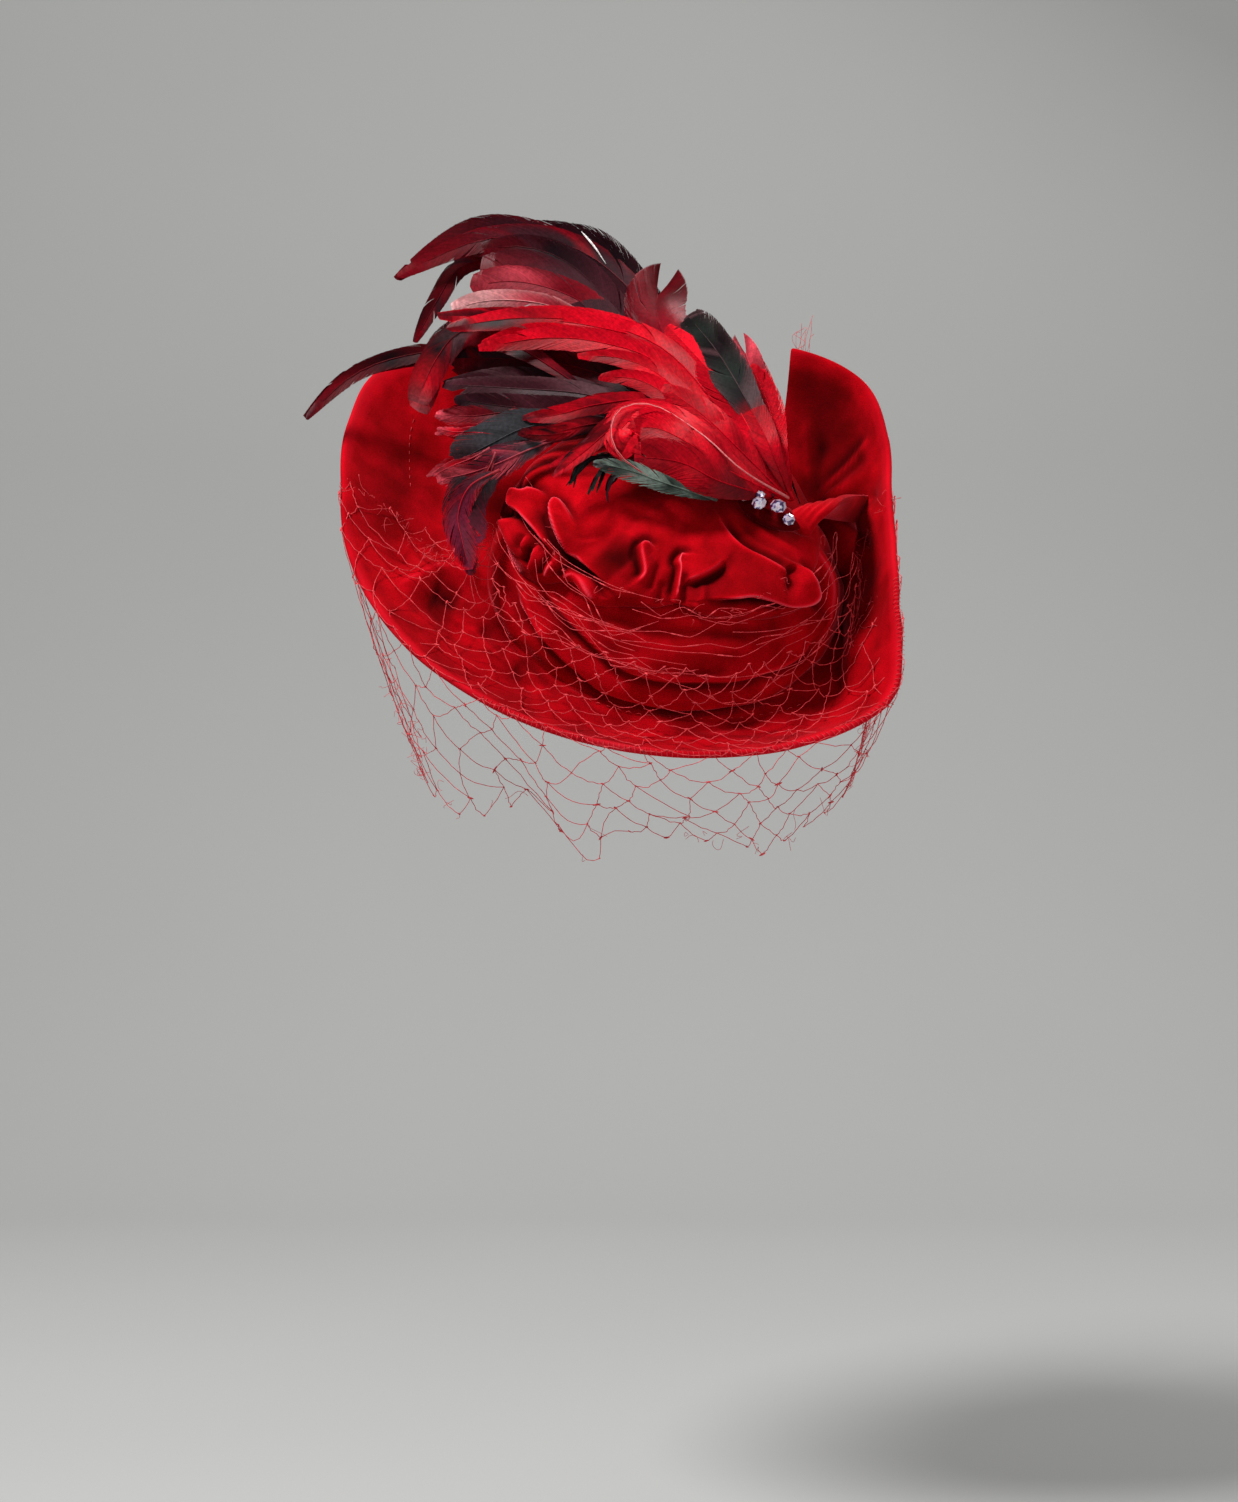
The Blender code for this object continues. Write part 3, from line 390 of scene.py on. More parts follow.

# The feathers' colours, and the feathers; the smoke and green tones are painted sheen and the white one a
# painted glint.
# A third of the rows makes each piece, from the back to the front.
TONES = {
    "red": (0.50, 0.0010, 0.009),
    "bright": (0.66, 0.0020, 0.014),
    "deep": (0.16, 0.0012, 0.006),
    "dusty": (0.25, 0.003, 0.012),
    "plum": (0.046, 0.008, 0.013),
    "black": (0.009, 0.003, 0.005),
    # Grey painted sheen on the dark feathers
    "smoke": (0.100, 0.044, 0.050),
    "pink": (0.58, 0.060, 0.085),
    "pale": (0.80, 0.360, 0.360),
    # A painted glint, used for one thin white line along a quill
    "white": (0.86, 0.760, 0.740),
    # Grey-green painted sheen on the dark feathers
    "green": (0.150, 0.190, 0.160),
    "moss": (0.018, 0.024, 0.020),
    "slate": (0.052, 0.050, 0.056),
    "mauve": (0.140, 0.010, 0.028),
}
FEATHERS = (
    # tones from root to tip, tone of the streaks and edge, tip, width in pixels, turn, more of them,
    # then its line from root to tip: pixels and millimetres above the plume's root
    ("plum plum black plum", "plum", "point", 62, 10, 1, (
        (786, 499, -2), (700, 400, 6), (650, 312, 8), (592, 252, 6), (520, 238, 0), (440, 264, -8),
    )),
    ("deep plum plum black plum black plum deep deep", "deep", "point", 46, -8, 1, (
        (786, 499, 0), (702, 392, 10), (640, 300, 14), (570, 246, 14), (480, 240, 8), (384, 284, 0),
    )),
    ("deep plum black plum black deep", "plum", "point", 50, 6, 1, (
        (784, 499, 1), (690, 398, 10), (626, 325, 14), (576, 268, 14), (520, 246, 10), (455, 256, 2),
    )),
    ("deep plum black plum plum deep", "plum", "round", 48, -6, 0, (
        (774, 497, 4), (680, 405, 12), (620, 345, 15), (576, 298, 16), (530, 270, 14), (468, 270, 8),
    )),
    ("plum plum plum deep dusty pink deep", "dusty", "round", 34, 4, 0, (
        (690, 420, 2), (640, 360, 10), (596, 312, 15), (556, 290, 17), (510, 281, 16), (462, 288, 10),
    )),
    ("plum red deep deep deep", "plum", "point", 28, 10, 0, (
        (610, 300, 0), (530, 262, 2), (466, 264, -2), (436, 302, -8), (412, 348, -14),
    )),
    ("plum deep deep dusty pink pale pale", "pale", "round", 22, 8, 0, (
        (650, 390, 4), (600, 336, 12), (556, 308, 17), (514, 300, 17), (478, 302, 15), (446, 312, 9),
    )),
    ("plum deep plum pink pale", "pink", "point", 16, -10, 0, (
        (580, 330, 6), (530, 312, 13), (486, 308, 13), (458, 316, 10), (440, 334, 3),
    )),
    ("plum plum black plum deep black deep plum", "deep", "point", 27, 0, 1, (
        (640, 424, 4), (540, 350, 4), (440, 350, -2), (358, 372, -14), (298, 427, -28),
    )),
    ("black black deep black red smoke black red smoke", "deep", "round", 31, 8, 1, (
        (600, 400, 8), (520, 348, 13), (466, 330, 10), (434, 362, 3), (415, 410, -8),
    )),
    ("red red bright red bright red black deep", "bright", "point", 42, -8, 1, (
        (792, 499, 1), (732, 424, 18), (668, 352, 24), (600, 324, 24), (520, 318, 20), (434, 330, 12),
    )),
    ("red bright red bright red red", "bright", "point", 38, 5, 1, (
        (790, 499, 1), (722, 428, 19), (660, 364, 24), (600, 342, 24), (540, 338, 20), (468, 350, 13),
    )),
    ("red red bright red red", "bright", "point", 30, -4, 1, (
        (788, 499, 1), (716, 432, 20), (664, 378, 25), (620, 358, 24), (570, 356, 21),
    )),
    ("red red bright red", "red", "point", 32, 8, 0, (
        (786, 499, 1), (714, 440, 20), (668, 396, 24), (632, 378, 22), (592, 378, 18),
    )),
    ("black black plum deep plum black", "deep", "round", 48, 12, 1, (
        (700, 450, 6), (652, 404, 10), (600, 374, 10), (530, 360, 5), (446, 358, -4),
    )),
    ("black plum smoke plum plum plum", "smoke", "point", 40, -8, 1, (
        (690, 452, 6), (642, 412, 12), (584, 394, 10), (510, 388, 5), (436, 384, -5),
    )),
    ("black plum plum black", "plum", "point", 40, 6, 0, (
        (680, 446, 6), (640, 418, 10), (580, 410, 8), (520, 408, 3), (448, 398, -5),
    )),
    ("red deep red deep red plum", "red", "point", 28, -5, 1, (
        (706, 436, 10), (652, 402, 18), (600, 404, 18), (560, 414, 15), (522, 420, 10),
    )),
    ("deep red black red black", "black", "point", 24, 8, 1, (
        (690, 446, 8), (642, 420, 16), (592, 424, 15), (552, 432, 12), (516, 430, 8),
    )),
    ("moss green moss green moss black", "green", "split", 30, -6, 1, (
        (716, 500, 5), (692, 492, 11), (662, 482, 14), (628, 470, 15), (590, 462, 14),
    )),
    ("black black moss", "black", "split", 6, 0, 3, (
        (640, 468, 13), (616, 462, 14), (600, 472, 12), (592, 492, 8),
    )),
    ("black black moss", "black", "split", 6, 0, 3, (
        (632, 464, 13), (598, 458, 14), (580, 468, 11), (570, 486, 6),
    )),
    ("black black plum", "black", "split", 6, 0, 2, (
        (650, 470, 13), (626, 466, 14), (612, 480, 12), (606, 497, 8),
    )),
    ("black slate slate slate plum", "slate", "round", 46, 6, 0, (
        (600, 436, 6), (560, 424, 7), (524, 428, 4), (490, 444, -1), (452, 464, -9),
    )),
    ("slate deep red pink", "pink", "split", 14, 0, 2, (
        (500, 430, 2), (476, 430, -1), (456, 432, -5), (436, 428, -11),
    )),
    ("slate deep red pink", "pink", "split", 14, 0, 2, (
        (490, 448, 1), (472, 458, -3), (452, 466, -8), (432, 476, -14),
    )),
    ("slate deep red pink", "pink", "split", 14, 0, 2, (
        (496, 452, 1), (488, 470, -5), (478, 486, -10), (474, 502, -15),
    )),
    ("black black plum deep pink", "deep", "split", 40, -8, 1, (
        (590, 428, 5), (548, 416, 4), (510, 412, 0), (472, 416, -5), (432, 414, -11),
    )),
    ("black slate mauve deep pink", "pink", "split", 40, 8, 1, (
        (560, 438, 4), (528, 450, 3), (496, 464, -3), (466, 474, -8), (434, 480, -14),
    )),
    ("black slate slate plum mauve", "mauve", "round", 42, 0, 0, (
        (560, 440, 4), (512, 452, 1), (480, 474, -7), (464, 506, -16), (470, 548, -23),
    )),
    ("slate mauve mauve mauve", "red", "split", 40, 12, 2, (
        (500, 470, -2), (470, 486, -9), (458, 514, -17), (462, 540, -21), (470, 572, -25),
    )),
    ("red bright red red", "bright", "round", 46, -6, 1, (
        (786, 499, 1), (728, 470, 18), (690, 444, 24), (656, 428, 24), (626, 430, 20),
    )),
    ("red deep red deep", "red", "round", 40, 10, 0, (
        (782, 499, 1), (722, 482, 16), (686, 464, 20), (656, 458, 20), (630, 458, 17),
    )),
    ("red bright red bright red red", "pale", "curl", 2, 0, 0, (
        (790, 499, 1), (742, 470, 20), (704, 436, 26), (656, 406, 27), (622, 408, 25), (611, 430, 23),
        (620, 455, 20), (648, 476, 15),
    )),
    ("red red deep red bright", "deep", "point", 22, -6, 1, (
        (720, 470, 12), (662, 426, 19), (618, 426, 20), (586, 450, 17), (549, 480, 12),
    )),
    ("red red pink red", "black", "point", 12, 6, 0, (
        (700, 456, 12), (640, 428, 19), (596, 438, 18), (570, 456, 15), (552, 476, 12),
    )),
    ("red red deep dusty deep", "dusty", "notch", 62, -6, 0, (
        (790, 499, 1), (738, 430, 12), (694, 374, 18), (664, 334, 21), (656, 304, 21), (664, 280, 20),
    )),
    ("red bright red black moss black moss black", "smoke", "round", 40, 8, 1, (
        (790, 499, 1), (764, 436, 20), (742, 392, 28), (716, 350, 29), (686, 314, 24),
    )),
    ("red red bright dusty pink", "pink", "notch", 30, 0, 0, (
        (792, 499, 1), (770, 436, 12), (756, 385, 16), (742, 342, 16),
    )),
    ("red bright red", "bright", "point", 30, 10, 1, (
        (792, 499, 1), (774, 445, 14), (766, 402, 16), (752, 356, 15),
    )),
    # A thin white feather that paints a glint of light along a quill
    ("white white white", "white", "point", 3, 0, 0, ((606, 264, 15), (594, 246, 18), (581, 231, 17))),
    ("black black black", "black", "point", 7, 0, 0, ((800, 504, 1), (781, 450, 8), (777, 404, 8))),
    ("red bright red bright red", "bright", "point", 50, -12, 2, (
        (790, 500, 1), (758, 444, 20), (730, 396, 24), (698, 358, 25), (664, 322, 22),
    )),
    ("red bright red red", "deep", "point", 40, 6, 1, (
        (792, 500, 1), (772, 452, 20), (756, 418, 25), (736, 388, 26), (716, 372, 24),
    )),
    ("red red bright red", "bright", "point", 40, 14, 1, (
        (792, 499, 1), (778, 450, 18), (768, 404, 22), (750, 362, 22),
    )),
    ("red bright red red", "bright", "point", 46, -4, 1, (
        (788, 498, 1), (738, 448, 21), (702, 414, 27), (660, 384, 26),
    )),
    ("red red deep red", "bright", "split", 12, 0, 1, (
        (742, 488, 6), (726, 484, 11), (706, 484, 12), (684, 486, 11),
    )),
    ("red bright red bright red", "bright", "round", 34, -14, 1, (
        (786, 496, 1), (738, 462, 18), (700, 436, 24), (662, 416, 24), (630, 420, 22), (620, 438, 20),
        (636, 460, 17),
    )),
)
TIPS = {
    # tip: where the barbs end as a share of the quill's length, how many splits a vane has
    "point": (1.00, 3),
    "round": (1.00, 3),
    "curl": (1.00, 3),
    "split": (1.07, 7),
    "notch": (1.20, 2),
}
QUILL_RADII = (
    # share of the length, radius
    (0.00, 0.00080),
    (0.15, 0.00036),
    (1.00, 0.00008),
)
QUILL_POINTS = 24
QUILL_SIDES = 6
QUILL_ABOVE = 0.0002
QUILL_SHORT = 8
FULL_QUILL_WIDTH = 0.008
FEATHER_POINTS = 90
VANES_FACE = (0.0, -0.6, 0.8)
BARB_GAP = 0.00056
BARB_STEPS = 4
BARB_CURL = 0.20
BARB_SHINGLE = 0.16

# A further feather of a row strays in pixels and millimetres, lies lower, is narrower and turns more
COPY_STRAY = (5.0, 6.0, 1.2)
COPY_DROP = 1.6
COPY_WIDTH = 0.93
COPY_TURN_DEG = 9
FEATHER_PIECES = (
    # name, roughness
    ("feathers_back", 0.38),
    ("feathers_middle", 0.40),
    ("feathers_front", 0.46),
)

# The net: its threads run between knots, from the drape's rim over the brim's edge to the hem
NET_COLUMNS = 22
NET_THREAD = 0.00030
NET_KNOT = 0.0008
NET_BUNCH = 8
NET_STRANDS = 26
STRAND_STARTS = (-0.05, 0.75)
STRAND_LENGTHS = (0.22, 0.55)
NET_HOLDS = (
    # level, start and end in degrees
    (0, 190, 362),
    (8, 186, 368),
    (12, 179, 376),
    (17, 174, 381),
    (24, 175, 380),
)
NET_STEPS = 7
NET_STRAYS = (
    # from and to as shares of the levels, from and to as shares of the way round, how many
    (0.55, 0.95, 0.000, 0.020, 34),
    (0.55, 0.90, 0.975, 1.000, 40),
    (0.97, 1.00, 0.000, 1.000, 30),
    (0.00, 0.10, 0.000, 1.000, 24),
    (0.20, 0.60, 0.000, 0.060, 40),
    (0.88, 1.00, 0.000, 0.140, 40),
    (0.90, 1.00, 0.880, 1.000, 26),
)
NET_BELLY = 0.002
NET_LIE = 0.0022
NET_EDGE_OUT = 0.0012
NET_FOOT_SHARE = 0.42
NET_FOOT_ABOVE = 0.007
NET_LOOSE = 0.26
HEM_LOOSE = 0.16
NET_SLACK = (0.0001, 0.0016)
NET_WANDER = 0.00022
STRAY_LENGTHS = (0.003, 0.009)
NET_LAY = (
    # on the crown: share of its half width, distance beyond that, height
    (0.80, 0.003, CROWN_HEIGHT + 0.007),
    (0.97, 0.008, CROWN_HEIGHT * 0.60),
)
NET_HEM = (
    # degrees, then the hem's pixels and its distance behind the head seat in metres
    (174, 424, 744, 0.042),
    (190, 426, 776, 0.022),
    (206, 440, 802, 0.004),
    (221, 482, 820, -0.022),
    (235, 537, 804, -0.042),
    (247, 590, 868, -0.054),
    (257, 620, 834, -0.060),
    (270, 670, 838, -0.062),
    (285, 735, 844, -0.060),
    (298, 764, 854, -0.054),
    (313, 802, 828, -0.044),
    (330, 838, 802, -0.020),
    (350, 850, 780, 0.010),
    (368, 856, 764, 0.034),
    (381, 862, 748, 0.050),
)

# A few threads also stand up from the corner of the tall flap
TUFT_THREADS = 9
TUFT_DEGREES = (67.0, 71.0)
TUFT_LENGTHS = (0.005, 0.015)
TUFT_SWAY = 0.0012

VELVETS = {
    # use: colour of the pile at its darkest and at its brightest
    # The brim's velvet is the crown's cloth painted darker: painted shade
    "velvet_brim": ((0.34, 0.0005, 0.0030), (0.56, 0.0012, 0.0065)),
    "velvet_crown": ((0.42, 0.0006, 0.0034), (0.64, 0.0014, 0.0075)),
    "velvet_drape": ((0.42, 0.0007, 0.0036), (0.66, 0.0016, 0.0080)),
    # The lining; on the plume's wound head its darkness is painted shade
    "lining": ((0.10, 0.0004, 0.0014), (0.16, 0.0006, 0.0020)),
}
LIGHTS = (
    # name, place, width and power
    ("key", (-0.75, -0.70, 1.35), 0.45, 36.0),
    ("fill", (1.0, -1.1, 0.2), 1.2, 6.0),
    ("back", (0.5, 0.8, 1.1), 0.8, 10.0),
)
LIGHTS_AIM = (-0.02, 0.0, 0.0)
FLOOR_DROP = 0.40
FLOOR_HALF_WIDTH = 3.0
FLOOR_FRONT = -2.5
FLOOR_BEND_AT = 0.9
FLOOR_BEND_RADIUS = 0.6
FLOOR_BEND_STEPS = 24
WALL_HEIGHT = 2.2

# A direction that no thread runs along, from which the rings of a tube are turned
TUBE_GUIDE = (0.31, -0.52, 0.79)

RANDOM = np.random.default_rng(11)
TILT = np.array(
    Euler((math.radians(FORWARD_TILT_DEG), math.radians(SIDE_ROLL_DEG), 0.0)).to_matrix()
)


def cubic(before, low, high, after, share):
    """A Catmull-Rom value between low and high."""
    return 0.5 * (
        2 * low
        + (high - before) * share
        + (2 * before - 5 * low + 4 * high - after) * share**2
        + (3 * low - before - 3 * high + after) * share**3
    )


def around(rows, degrees, column):
    """A column of a table that goes once round the hat, read smoothly at angles."""
    table = np.array(rows, float)
    at = np.mod(degrees, 360)
    count = len(table)
    place = np.searchsorted(table[:, 0], at, side="right") - 1
    end = np.append(table[1:, 0], table[0, 0] + 360)[place]
    values = [table[(place + step) % count, column] for step in (-1, 0, 1, 2)]
    return cubic(*values, (at - table[place, 0]) / (end - table[place, 0]))


def along(rows, value, column):
    """A column of a table read smoothly at values of its first column, held at both ends."""
    table = np.array(rows, float)
    last = len(table) - 1
    value = np.clip(value, table[0, 0], table[last, 0])
    place = np.clip(np.searchsorted(table[:, 0], value, side="right") - 1, 0, last - 1)
    share = (value - table[place, 0]) / (table[place + 1, 0] - table[place, 0])
    values = [table[np.clip(place + step, 0, last), column] for step in (-1, 0, 1, 2)]
    return cubic(*values, share)


def smooth_line(points, count):
    """A smooth line of count points through a few chosen ones."""
    points = np.array(points, float)
    rows = np.column_stack((np.arange(len(points)), points))
    places = np.linspace(0, len(points) - 1, count)
    return np.column_stack([along(rows, places, 1 + axis) for axis in range(points.shape[1])])


def directions(degrees):
    """Level unit vectors at angles."""
    angle = np.radians(degrees)
    return np.stack((np.cos(angle), np.sin(angle), np.zeros_like(angle)), axis=-1)


def unit(vectors, least=1e-9):
    """The same vectors with a length of 1, save those that are shorter than the least."""
    return vectors / np.maximum(np.linalg.norm(vectors, axis=-1, keepdims=True), least)


def upward(normal):
    """The same normals, all turned to the side that looks up."""
    return normal * np.where(normal[..., 2:] < 0, -1.0, 1.0)


def run_of(points):
    """How far along a line each of its points lies."""
    return np.concatenate(([0], np.cumsum(np.linalg.norm(np.diff(points, axis=0), axis=1))))


def oval(degrees):
    """The crown's half width in a direction."""
    way = directions(degrees)
    return 1 / np.hypot(way[..., 0] / (CROWN_WIDTH / 2), way[..., 1] / (CROWN_DEPTH / 2))


def eye_place():
    """The camera's place in the world."""
    across = (IMAGE_WIDTH / 2 - SEAT_PIXEL[0]) * SCALE
    up = (SEAT_PIXEL[1] - IMAGE_HEIGHT / 2) * SCALE
    return np.array((across, -CAMERA_DISTANCE, up))


def pixels_of(points):
    """Where the photograph shows points of the hat's frame."""
    from_eye = points @ TILT.T - eye_place()
    near = CAMERA_DISTANCE / SCALE / from_eye[..., 1]
    return np.stack(
        (IMAGE_WIDTH / 2 + from_eye[..., 0] * near, IMAGE_HEIGHT / 2 - from_eye[..., 2] * near), axis=-1
    )


def seen(pixels, out):
    """Points of the hat's frame that the photograph shows at pixels, at heights along the hat's own Z."""
    pixels = np.asarray(pixels, float)
    ray = np.empty((*pixels.shape[:-1], 3))
    ray[..., 0] = (pixels[..., 0] - IMAGE_WIDTH / 2) * SCALE
    ray[..., 1] = CAMERA_DISTANCE
    ray[..., 2] = (IMAGE_HEIGHT / 2 - pixels[..., 1]) * SCALE
    ray = ray @ TILT
    eye = eye_place() @ TILT
    return eye + ray * ((out - eye[2]) / ray[..., 2])[..., None]


def seen_behind(pixels, depth):
    """Points of the hat's frame that the photograph shows at pixels, at distances behind the head seat."""
    away = (CAMERA_DISTANCE + depth) * SCALE / CAMERA_DISTANCE
    eye = eye_place()
    across = eye[0] + (pixels[..., 0] - IMAGE_WIDTH / 2) * away
    up = eye[2] + (IMAGE_HEIGHT / 2 - pixels[..., 1]) * away
    return np.stack((across, depth, up), axis=-1) @ TILT


def normals_of(grid, closed):
    """The surface's normals at the points of a grid of rows and columns."""
    if closed:
        wide = np.roll(grid, -1, axis=1) - np.roll(grid, 1, axis=1)
    else:
        wide = np.gradient(grid, axis=1)
    return unit(np.cross(wide, np.gradient(grid, axis=0)))


def beside_line(places, line):
    """Each place's distance from a line, the same with a sign for its side, and how far along it lies."""
    line = smooth_line(line, 6 * len(line))
    start = line[:-1]
    step = line[1:] - start
    length = np.maximum(np.linalg.norm(step, axis=1), 1e-9)
    run = np.concatenate(([0], np.cumsum(length)))
    best = np.full(len(places), 1e9)
    signed = np.zeros(len(places))
    at = np.zeros(len(places))
    for index in range(len(start)):
        offset = places - start[index]
        share = np.clip(offset @ step[index] / length[index] ** 2, 0, 1)
        gap = offset - share[:, None] * step[index]
        distance = np.linalg.norm(gap, axis=1)
        side = step[index, 0] * offset[:, 1] - step[index, 1] * offset[:, 0]
        nearer = distance < best
        best = np.where(nearer, distance, best)
        signed = np.where(nearer, np.copysign(distance, side), signed)
        at = np.where(nearer, (run[index] + share * length[index]) / run[-1], at)
    return best, signed, at


def fold_height(places, line, shape, height, width):
    """How far a surface stands out beside one fold line, and its painted shading there: a thin line of
    painted highlight at a lip's edge and on a ridge, painted shade past a lip and in a dip. All are metres
    in the photograph's plane."""
    distance, signed, at = beside_line(places, line)
    fade = np.minimum(1, FOLD_FADE * np.minimum(at, 1 - at) + FOLD_END)
    if shape == "lip":
        stands = np.exp(-((distance / width) ** 1.5))
        drops = -LIP_FALL * np.exp(-((distance / (LIP_FALL_WIDTH * width)) ** 2))
        edge = np.clip(0.5 - signed / LIP_EDGE, 0, 1)
        form = drops + (stands - drops) * edge * edge * (3 - 2 * edge)
        # A thin line of painted highlight along the lip's edge, and a band of painted shade past its drop
        painted_highlight = np.exp(-(((signed + 0.5 * LIP_EDGE) / PAINTED_LINE_WIDTH) ** 2))
        closed = np.exp(-(((signed - LIP_EDGE) / (2 * PAINTED_LINE_WIDTH)) ** 2))
        painted_shading = painted_highlight - PAINTED_SHADE_PAST_LIP * closed
    elif shape == "ridge":
        form = np.exp(-((distance / width) ** 2))
        # A thin line of painted highlight along the ridge
        painted_shading = PAINTED_HIGHLIGHT_ON_RIDGE * np.exp(-((distance / PAINTED_LINE_WIDTH) ** 2))
    else:
        form = -np.exp(-((distance / width) ** 2))
        # Painted shade in a crease or a hollow
        painted_shading = PAINTED_SHADE_IN_DIP * form
    return height * fade * form, min(1.0, height / FULL_PAINTED_SHADING_AT) * fade * painted_shading


def folded(grid, normal, folds):
    """The folds over a grid of points, on the parts that face the camera: their height and their painted
    shading.
    """
    places = pixels_of(grid).reshape(-1, 2) * SCALE
    total = np.zeros((2, len(places)))
    for shape, height, width, line in folds:
        total += fold_height(places, np.array(line) * SCALE, shape, height / 1000, width / 1000)
    # Broad soft patches of painted shade, and two of painted light
    for x, y, radius, amount in PAINTED_SHADE_AND_LIGHT_PATCHES:
        total[1] += amount * np.exp(-((places / SCALE - (x, y)) ** 2).sum(axis=1) / radius**2)
    # Where the velvet turns away from the camera, the photograph shows no folds and none are drawn
    towards = np.array((0.0, -1.0, 0.0)) @ TILT
    facing = np.clip(4 * (normal @ towards) + 0.6, 0, 1)
    return total[0].reshape(facing.shape) * facing, total[1].reshape(facing.shape) * facing


def eased(field, passes):
    """A field of heights with its steps softened."""
    for _ in range(passes):
        padded = np.pad(field, 1, mode="edge")
        beside = padded[1:-1, :-2] + padded[1:-1, 2:] + padded[:-2, 1:-1] + padded[2:, 1:-1]
        field = 0.5 * field + 0.125 * beside
    return field


def ripple(grid, size, strength, seed):
    """Small smooth unevenness, the same on each run."""
    flat = grid.reshape(-1, 3) / size
    values = [noise.noise(Vector(point) + Vector((seed, 0, 0))) for point in flat]
    return strength * np.array(values).reshape(grid.shape[:-1])


def ripples(grid, name):
    """The broad and the small unevenness of one piece of velvet."""
    return sum(ripple(grid, *row) for row in RIPPLES[name])


def new_object(name, points, faces, surface, painted_shading=None):
    """An object from points in the hat's frame. The painted shading is kept with the points for the velvet.
    """
    points = np.asarray(points, float).reshape(-1, 3) @ TILT.T
    mesh = bpy.data.meshes.new(name)
    mesh.from_pydata(points.tolist(), [], faces)
    if painted_shading is not None:
        mesh.attributes.new("painted_shading", "FLOAT", "POINT").data.foreach_set("value", np.ravel(painted_shading))
    mesh.materials.append(surface)
    mesh.shade_smooth()
    obj = bpy.data.objects.new(name, mesh)
    bpy.context.scene.collection.objects.link(obj)
    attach(obj, "root")
    return obj


def grid_faces(rows, columns, closed):
    """The quads between rows of points, round the hat or open at the ends."""
    reach = columns if closed else columns - 1
    return [
        (
            row * columns + column,
            row * columns + (column + 1) % columns,
            (row + 1) * columns + (column + 1) % columns,
            (row + 1) * columns + column,
        )
        for row in range(rows - 1)
        for column in range(reach)
    ]


def tube_faces(rings, sides):
    """The faces of a closed tube: quads between its rings, and a cap at each end."""
    last = (rings - 1) * sides
    caps = [tuple(range(sides - 1, -1, -1)), tuple(range(last, last + sides))]
    return grid_faces(rings, sides, True) + caps


def thicken(obj, wall, offset):
    """Gives a surface its wall."""
    solid = obj.modifiers.new("wall", "SOLIDIFY")
    solid.thickness = wall
    solid.offset = offset


def soften(obj, levels):
    """Rounds an object off by subdivision."""
    smooth = obj.modifiers.new("soften", "SUBSURF")
    smooth.levels = levels
    smooth.render_levels = levels


# Materials


def grey(value):
    """A colour without a hue."""
    return value, value, value


class Nodes:
    """A material's nodes, made and joined in short calls."""

    def __init__(self, name):
        self.material = bpy.data.materials.new(name)
        self.material.use_nodes = True
        self.tree = self.material.node_tree
        self.shader = self.tree.nodes["Principled BSDF"]
        self.place = self.tree.nodes.new("ShaderNodeTexCoord").outputs["Object"]

    def set(self, **values):
        for name, value in values.items():
            self.shader.inputs[name.replace("_", " ")].default_value = value

    def join(self, output, node, name):
        self.tree.links.new(output, node.inputs[name])

    def noise(self, scale, detail):
        node = self.tree.nodes.new("ShaderNodeTexNoise")
        node.inputs["Scale"].default_value = scale
        node.inputs["Detail"].default_value = detail
        self.join(self.place, node, "Vector")
        return node.outputs["Fac"]

    def ramp(self, factor, stops):
        node = self.tree.nodes.new("ShaderNodeValToRGB")
        while len(node.color_ramp.elements) < len(stops):
            node.color_ramp.elements.new(0.5)
        for element, (place, colour) in zip(node.color_ramp.elements, stops):
            element.position = place
            element.color = (*colour, 1.0)
        self.join(factor, node, "Fac")
        return node.outputs["Color"]

    def mix(self, kind, share, first, second):
        node = self.tree.nodes.new("ShaderNodeMix")
        node.data_type = "RGBA"
        node.blend_type = kind
        if isinstance(share, float):
            node.inputs["Factor"].default_value = share
        else:
            self.join(share, node, "Factor")
        self.join(first, node, 6)
        self.join(second, node, 7)
        return node.outputs[2]

    def attribute(self, name):
        node = self.tree.nodes.new("ShaderNodeAttribute")
        node.attribute_name = name
        return node.outputs

    def halved(self, value):
        """A value from -1 to 1, moved to 0 to 1."""
        node = self.tree.nodes.new("ShaderNodeMath")
        node.operation = "MULTIPLY_ADD"
        node.inputs[1].default_value = 0.5
        node.inputs[2].default_value = 0.5
        self.join(value, node, 0)
        return node.outputs[0]

    def bump(self, height, distance, strength):
        node = self.tree.nodes.new("ShaderNodeBump")
        node.inputs["Distance"].default_value = distance
        node.inputs["Strength"].default_value = strength
        self.join(height, node, "Height")
        self.join(node.outputs["Normal"], self.shader, "Normal")


